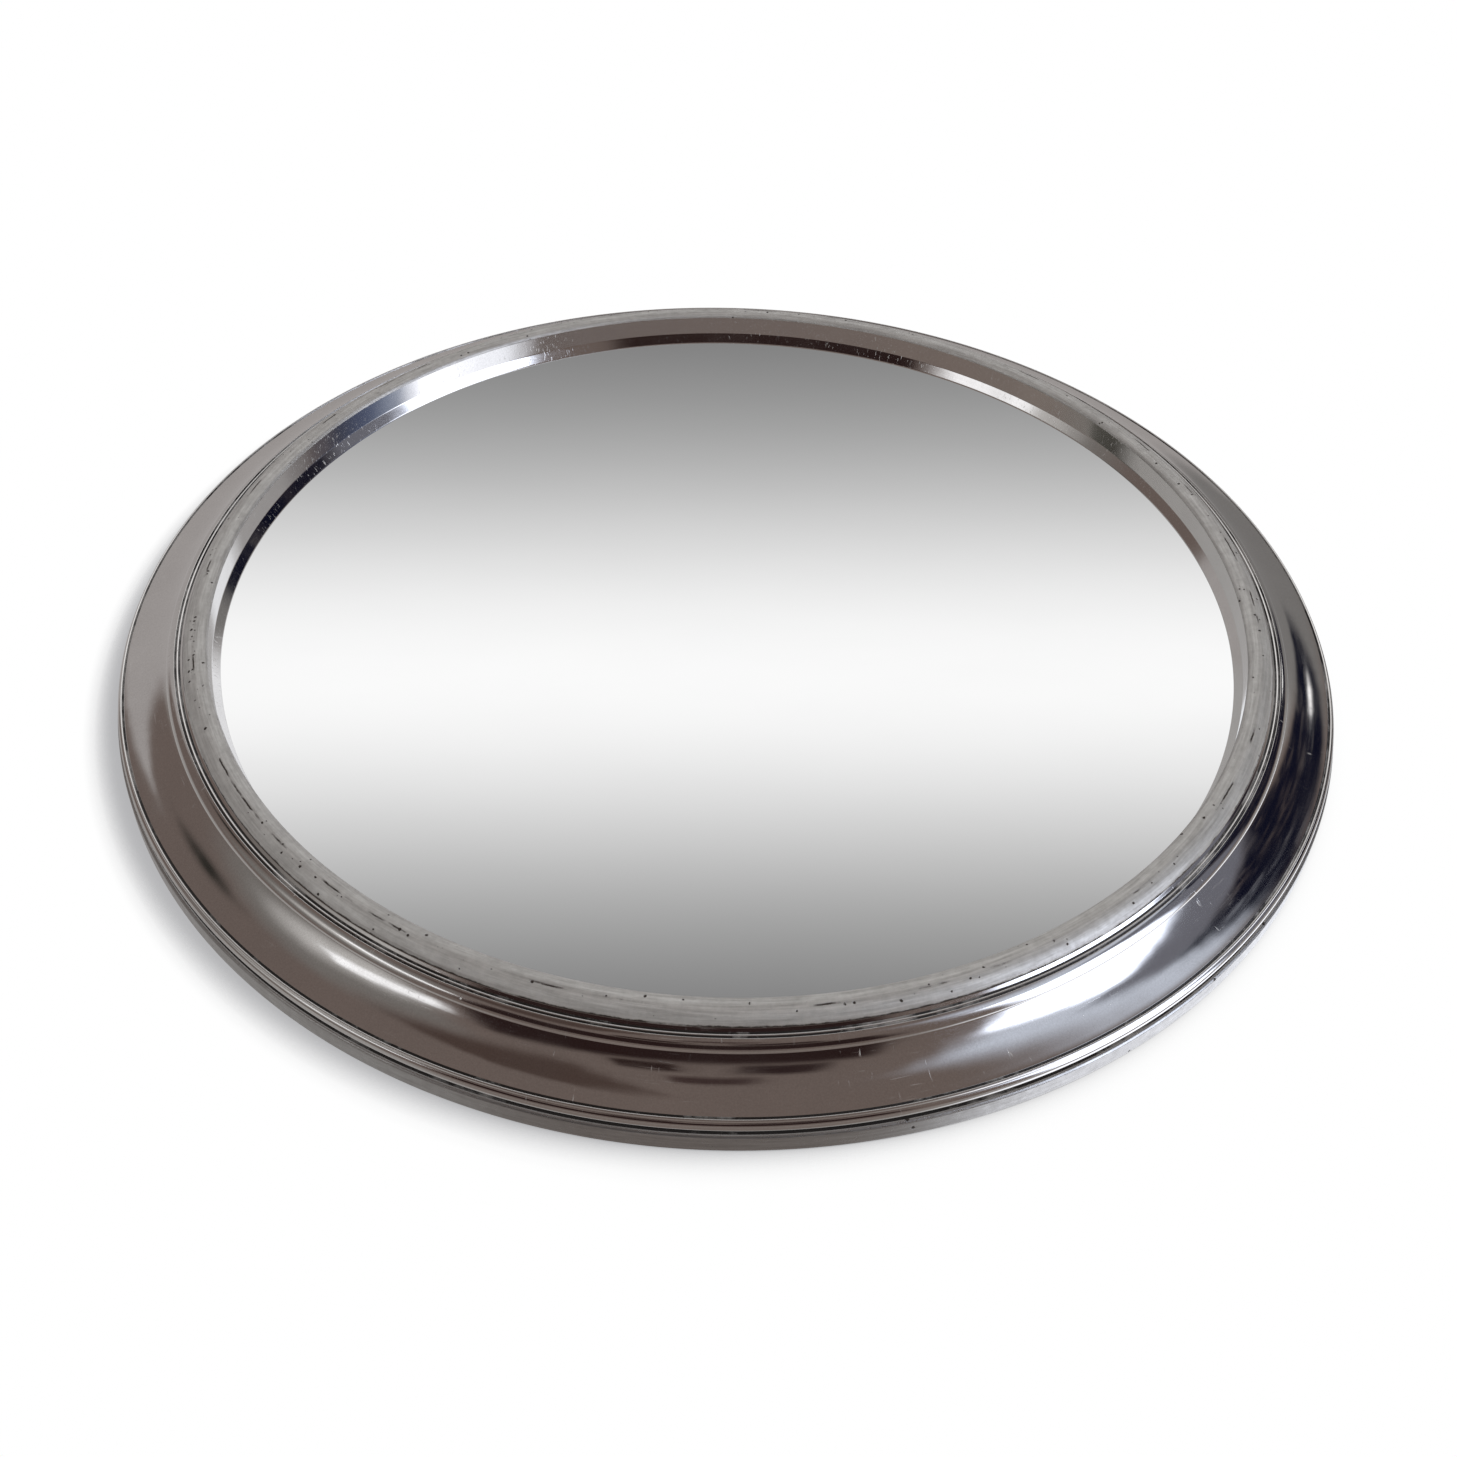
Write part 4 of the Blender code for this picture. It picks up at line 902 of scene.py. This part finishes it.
def makeShoe(size):
    outline = roundedOutline(oblong(-size["half"], size["end"], size["half"], size["start"]),
                             [size["corner"], size["corner"], 0, 0])
    shoe = slab("strutShoe", outline, size["bottom"], size["top"])
    roundEdges(shoe, size["edge"])
    pocket = slab("pocket", oblong(-size["pocketHalf"], size["pocketEnd"], size["pocketHalf"], size["start"] + 1),
                  size["pocketBottom"], size["pocketTop"])
    combine(shoe, "DIFFERENCE", pocket)
    # grip grooves run across both faces
    for level in (size["bottom"], size["top"]):
        wide, deep, long = size["grooveWidth"] / 2, size["grooveDepth"], size["half"] + 1
        points = [(x * mm, y * mm, (level + z) * mm) for x in (-long, long)
                  for y, z in ((-wide, 0), (0, -deep), (wide, 0), (0, deep))]
        faces = [(0, 1, 2, 3), (7, 6, 5, 4)] + [(i, i + 4, (i + 1) % 4 + 4, (i + 1) % 4) for i in range(4)]
        grooves = outward(newPiece("grooves", points, faces=faces))
        runTree(grooves, gridTree, {"Columns": 1, "Rows": size["grooves"], "Width": 0.0,
                                    "Length": size["grooveSpan"] * mm,
                                    "Centre": (0.0, size["grooveMiddle"] * mm, 0.0), "Material": rubber})
        combine(shoe, "DIFFERENCE", grooves)
    dress(shoe, rubber)
    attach(shoe, "strut")
    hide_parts("strut_shoe")


makeStrut(strutSizes, hingeSizes)
makeShoe(shoeSizes)
print("strut made")


# Camera at the photo's place, for a picture of 1457 x 1457
photoView = {"picture": 1457, "focalLength": 1788.6, "elevation": 44.10, "roll": 1.81,
             "aim": (0.74, -38.43, 5.07), "distance": 456.6, "sensor": 36.0}


def viewAxes(view):
    lift, turn = math.radians(view["elevation"]), math.radians(view["roll"])
    ahead = Vector((0, math.cos(lift), -math.sin(lift)))
    up = Vector((0, math.sin(lift), math.cos(lift)))
    right = Vector((1, 0, 0))
    return (right * math.cos(turn) + up * math.sin(turn),
            up * math.cos(turn) - right * math.sin(turn), ahead)


def makeCamera(view):
    right, up, ahead = viewAxes(view)
    lens = bpy.data.cameras.new("photoCamera")
    lens.sensor_width = view["sensor"]
    lens.lens = view["sensor"] * view["focalLength"] / view["picture"]
    lens.clip_start, lens.clip_end = 0.01, 50
    camera = bpy.data.objects.new("photoCamera", lens)
    scene.collection.objects.link(camera)
    stand = Vector(view["aim"]) * mm - ahead * view["distance"] * mm
    axes = Matrix((right, up, -ahead)).transposed().to_4x4()
    camera.matrix_world = Matrix.Translation(stand) @ axes
    scene.camera = camera


makeCamera(photoView)


# Room that the metal and the glass reflect: a dim warm studio with soft panels; azimuth 0 is +X, 90 is +Y
roomPanels = [
    # name, azimuth, half width, lowest, highest, softness (degrees), colour, strength, mottle
    ("window", -23, 15, -6, 43, 4, "E4EDFF", 3.6, 0.0),
    ("sideWindow", -152, 12, 31, 38, 2, "F8F9FC", 1.4, 0.3),
    ("sideGlow", -160, 14, 22, 40, 7, "C6C4C2", 1.0, 0.0),
    ("glint", 42, 1.5, 16, 21, 1.5, "FFFFFF", 1.6, 0.0),
    ("curtain", 30, 18, 2, 48, 2.5, "0D0F22", 1.0, 0.5),
    ("windowSide", 2, 11, 2, 50, 4, "74757F", 1.0, 0.0),
    ("windowGlow", 2, 40, 40, 62, 9, "C9D0DE", 1.1, 0.0),
    ("darkPost", 163, 5, 31, 41, 4, "23231F", 1.0, 0.3),
    ("sideWall", -165, 20, 8, 54, 7, "7B7774", 1.0, 0.0),
    ("flagLeft", -104, 7, 47, 56, 1.5, "2A1C1A", 1.0, 0.2),
    ("flagMiddle", -90, 11, 61, 69, 2, "382827", 1.0, 0.2),
    ("flagRight", -76, 9, 47, 57, 1.5, "2A1C1C", 1.0, 0.2),
    ("frontDark", -97, 38, 18, 45, 3, "2A1C1B", 1.0, 0.0),
    ("darkCorner", -148, 26, 57, 82, 6, "4E403B", 1.0, 0.0),
    ("farWall", 106, 41, -90, 35, 2.5, "ADA9A8", 1.0, 0.0),
    ("tableShine", 8, 46, -64, -32, 8, "F4F7FF", 1.7, 0.0),
    ("farCorner", 62, 26, -90, 32, 8, "807E7D", 1.0, 0.0),
    ("tableFront", -95, 42, -90, -4, 14, "7E746F", 1.0, 0.0),
    ("table", 0, 180, -90, -4, 5, "A5A2A0", 1.0, 0.0),
]
# what the glass shows all round: height in degrees, grey
paleRoom = [(-90, "CFCFCF"), (0, "EFEFEF"), (12, "E6E6E6"), (30, "A9A9A9"), (38, "C4C4C4"), (46, "FFFFFF"), (56, "D8D8D8"),
            (66, "A8A8A8"), (78, "D2D2D2"), (90, "F4F4F4")]
# what the inner wall shows by way of the glass, where the near room lies at other angles: azimuth, colour, strength
glassRoom = [(-180, "8A8682", 1.0), (-168, "8C827C", 1.0), (-142, "857973", 1.0), (-90, "7F7470", 1.0),
             (-42, "7C7370", 1.0), (-34, "E8ECF4", 1.6), (-11, "F4F7FF", 2.0), (-5, "AAB4C8", 1.0), (4, "5A6480", 1.0),
             (14, "474A5A", 1.0), (24, "6E6768", 1.0), (34, "A9A7A7", 1.0), (57, "B2B0B0", 1.0),
             (63, "F2F4F8", 1.15), (79, "F2F4F8", 1.15), (85, "BBB9B9", 1.0), (120, "B4B3B2", 1.0),
             (164, "ABA9A7", 1.0), (171, "4A4843", 1.0), (177, "55544F", 1.0), (180, "8A8682", 1.0)]
roomLight = {"ceiling": "716560", "fill": 0.50, "mirrorWhite": 1.06, "mirrorReach": 0.36, "mirrorRise": (-0.21, 0.26),
             "whiteRow": 676, "rowFall": 1.42e-5, "edgeGrey": 0.392}


def makeWorld(light, panels, pale, byGlass, view):
    world = bpy.data.worlds.new("studio")
    scene.world = world
    world.use_nodes = True
    tree = world.node_tree
    tree.nodes.clear()
    ray = addNode(tree, "ShaderNodeLightPath")
    towards = addNode(tree, "ShaderNodeTexCoord").outputs["Generated"]
    colour = tint(light["ceiling"])

    def band(value, low, high, soft):
        rise = addNode(tree, "ShaderNodeMapRange", {"Value": value, "From Min": low - soft, "From Max": low + soft},
                       interpolation_type="SMOOTHSTEP")
        fall = addNode(tree, "ShaderNodeMapRange", {"Value": value, "From Min": high - soft, "From Max": high + soft,
                                                    "To Min": 1.0, "To Max": 0.0}, interpolation_type="SMOOTHSTEP")
        return addNode(tree, "ShaderNodeMath", {0: rise.outputs[0], 1: fall.outputs[0]}, operation="MULTIPLY").outputs[0]

    height = addNode(tree, "ShaderNodeSeparateXYZ", {"Vector": towards}).outputs["Z"]
    lift = addNode(tree, "ShaderNodeMath", {0: height}, operation="ARCSINE").outputs[0]
    clutter = addNode(tree, "ShaderNodeTexNoise", {"Vector": towards, "Scale": 16.0, "Detail": 4.0, "Distortion": 0.6})
    for name, azimuth, half, low, high, soft, hexText, strength, mottle in reversed(panels):
        turnedRay = addNode(tree, "ShaderNodeVectorRotate", {"Vector": towards, "Angle": -math.radians(azimuth)},
                            rotation_type="Z_AXIS")
        parts = addNode(tree, "ShaderNodeSeparateXYZ", {"Vector": turnedRay.outputs[0]})
        swing = addNode(tree, "ShaderNodeMath", {0: parts.outputs["Y"], 1: parts.outputs["X"]}, operation="ARCTAN2")
        tall = band(lift, math.radians(low), math.radians(high), math.radians(soft))
        share = tall
        if half < 180:
            wide = band(swing.outputs[0], -math.radians(half), math.radians(half), math.radians(soft))
            share = addNode(tree, "ShaderNodeMath", {0: wide, 1: tall}, operation="MULTIPLY", label=name).outputs[0]
        if mottle > 0:
            holes = addNode(tree, "ShaderNodeMapRange", {"Value": clutter.outputs["Fac"], "From Min": 0.54,
                                                         "From Max": 0.66, "To Min": 1.0, "To Max": 1.0 - mottle})
            share = addNode(tree, "ShaderNodeMath", {0: share, 1: holes.outputs[0]}, operation="MULTIPLY").outputs[0]
        panel = [c * strength for c in tint(hexText)[:3]] + [1.0]
        colour = addNode(tree, "ShaderNodeMix", {"Factor": share, 6: colour, 7: panel}, data_type="RGBA").outputs[2]

    def colourRamp(value, low, high, rows):
        place = addNode(tree, "ShaderNodeMapRange", {"Value": value, "From Min": math.radians(low),
                                                     "From Max": math.radians(high)})
        ramp = addNode(tree, "ShaderNodeValToRGB", {"Fac": place.outputs[0]})
        stops = ramp.color_ramp.elements
        stops.remove(stops[1])
        for i, (degrees, hexText, strength) in enumerate(rows):
            stop = stops[0] if i == 0 else stops.new((degrees - low) / (high - low))
            stop.position = (degrees - low) / (high - low)
            stop.color = [c * strength for c in tint(hexText)[:3]] + [1.0]
        return ramp.outputs["Color"]

    across = addNode(tree, "ShaderNodeSeparateXYZ", {"Vector": towards})
    swing = addNode(tree, "ShaderNodeMath", {0: across.outputs["Y"], 1: across.outputs["X"]}, operation="ARCTAN2")
    secondView = colourRamp(swing.outputs[0], -180, 180, byGlass)
    # the glass alone reflects sharply, so it can show a paler room than the metal does
    glassView = colourRamp(lift, -90, 90, [(degrees, hexText, 1.0) for degrees, hexText in pale])
    colour = addNode(tree, "ShaderNodeMix", {"Factor": ray.outputs["Is Singular Ray"], 6: colour, 7: glassView},
                     data_type="RGBA").outputs[2]
    # graduated panel over the far side, which the glass shows: white in the middle, grey above and below
    right, up, ahead = [Vector((v.x, v.y, -v.z)) for v in viewAxes(view)]
    whiteSlope = (view["picture"] / 2 - light["whiteRow"]) / view["focalLength"]
    fall = light["rowFall"] * view["focalLength"] ** 2
    along = addNode(tree, "ShaderNodeVectorMath", {0: towards, 1: ahead}, operation="DOT_PRODUCT").outputs["Value"]
    rise = addNode(tree, "ShaderNodeVectorMath", {0: towards, 1: up}, operation="DOT_PRODUCT").outputs["Value"]
    aside = addNode(tree, "ShaderNodeVectorMath", {0: towards, 1: right}, operation="DOT_PRODUCT").outputs["Value"]
    slope = addNode(tree, "ShaderNodeMath", {0: rise, 1: along}, operation="DIVIDE").outputs[0]
    off = addNode(tree, "ShaderNodeMath", {0: slope, 1: whiteSlope}, operation="SUBTRACT").outputs[0]
    squared = addNode(tree, "ShaderNodeMath", {0: off, 1: off}, operation="MULTIPLY").outputs[0]
    power = addNode(tree, "ShaderNodeMath", {0: squared, 1: -fall}, operation="MULTIPLY").outputs[0]
    bell = addNode(tree, "ShaderNodeMath", {0: power}, operation="EXPONENT").outputs[0]
    display = addNode(tree, "ShaderNodeMath", {0: bell, 1: 1 - light["edgeGrey"], 2: light["edgeGrey"]},
                      operation="MULTIPLY_ADD").outputs[0]
    linear = addNode(tree, "ShaderNodeMath", {0: display, 1: 2.2}, operation="POWER").outputs[0]
    strong = addNode(tree, "ShaderNodeMath", {0: linear, 1: light["mirrorWhite"]}, operation="MULTIPLY").outputs[0]
    wide = band(aside, -light["mirrorReach"], light["mirrorReach"], 0.06)
    tall = band(slope, *light["mirrorRise"], 0.03)
    onward = addNode(tree, "ShaderNodeMath", {0: along, 1: 0.0}, operation="GREATER_THAN").outputs[0]
    share = addNode(tree, "ShaderNodeMath", {0: wide, 1: tall}, operation="MULTIPLY").outputs[0]
    share = addNode(tree, "ShaderNodeMath", {0: share, 1: onward}, operation="MULTIPLY").outputs[0]
    colour = addNode(tree, "ShaderNodeMix", {"Factor": share, 6: colour, 7: strong}, data_type="RGBA").outputs[2]
    twice = addNode(tree, "ShaderNodeMath", {0: ray.outputs["Glossy Depth"], 1: 1.5}, operation="GREATER_THAN").outputs[0]
    colour = addNode(tree, "ShaderNodeMix", {"Factor": twice, 6: colour, 7: secondView},
                     data_type="RGBA").outputs[2]
    # camera rays see white, glossy rays the room, and all else an even fill
    fill = [light["fill"]] * 3 + [1.0]
    white = (1.0, 1.0, 1.0, 1.0)
    shown = addNode(tree, "ShaderNodeMix", {"Factor": ray.outputs["Is Glossy Ray"], 6: fill, 7: colour},
                    data_type="RGBA").outputs[2]
    for kind in ("Is Camera Ray", "Is Transmission Ray"):
        shown = addNode(tree, "ShaderNodeMix", {"Factor": ray.outputs[kind], 6: shown, 7: white},
                        data_type="RGBA").outputs[2]
    background = addNode(tree, "ShaderNodeBackground", {"Color": shown})
    addNode(tree, "ShaderNodeOutputWorld", {"Surface": background.outputs[0]})


makeWorld(roomLight, roomPanels, paleRoom, glassRoom, photoView)


# Floor and lamps
# shade and darkest set the floor's painted shadow; towardsLight leans it towards the key lamp
floorSizes = {"half": 0.6, "level": -0.00005, "shade": "B4B4B6", "reach": 10.0, "towardsLight": (0.70, -0.08, 0.71),
              "darkest": 0.45}


def makeFloor(size):
    # a clear sheet with a painted shadow, grey where something stands near it and clear elsewhere, so that the strut
    # shows when it opens below the rim
    half, level = size["half"], size["level"]
    floor = newPiece("floor", [(-half, -half, level), (half, -half, level), (half, half, level), (-half, half, level)],
                     faces=[(0, 1, 2, 3)])
    material, tree, shader = newMaterial("clearSheetPaintedShadow")
    # painted shadow: the sheet tints what lies behind it grey, down to shade, where nearby parts hide the sky within
    # reach, counted along a slant towards the key lamp
    lean = addNode(tree, "ShaderNodeCombineXYZ", dict(enumerate(size["towardsLight"])))
    near = addNode(tree, "ShaderNodeAmbientOcclusion", {"Distance": size["reach"] * mm, "Normal": lean.outputs[0]})
    openSky = addNode(tree, "ShaderNodeMapRange", {"Value": near.outputs["AO"], "From Min": size["darkest"]},
                      interpolation_type="SMOOTHSTEP")
    below = addNode(tree, "ShaderNodeNewGeometry").outputs["Backfacing"]
    light = addNode(tree, "ShaderNodeMath", {0: openSky.outputs[0], 1: below}, operation="MAXIMUM")
    shade = addNode(tree, "ShaderNodeMix", {"Factor": light.outputs[0], 6: tint(size["shade"]), 7: (1, 1, 1, 1)},
                    data_type="RGBA")
    sheet = addNode(tree, "ShaderNodeBsdfTransparent", {"Color": shade.outputs[2]})
    tree.links.new(sheet.outputs[0], tree.nodes["Material Output"].inputs["Surface"])
    tree.nodes.remove(shader)
    floor.data.materials.append(material)
    # the room's light reaches the back from below
    floor.visible_glossy = False
    floor.visible_diffuse = False
    floor.visible_shadow = False


makeFloor(floorSizes)

lamps = [
    # name, place, size in metres, watts
    ("keyLamp", (1.0, -0.12, 1.45), 0.6, 17.0),
    ("fillLamp", (-1.2, -0.7, 1.2), 1.2, 5.0),
]


def makeLamps(rows):
    for name, stand, wide, watts in rows:
        light = bpy.data.lights.new(name, "AREA")
        light.size = wide
        light.energy = watts
        lamp = bpy.data.objects.new(name, light)
        scene.collection.objects.link(lamp)
        lamp.location = stand
        lamp.rotation_mode = "QUATERNION"
        lamp.rotation_quaternion = (-Vector(stand)).to_track_quat("-Z", "Y")
        lamp.visible_glossy = False


makeLamps(lamps)
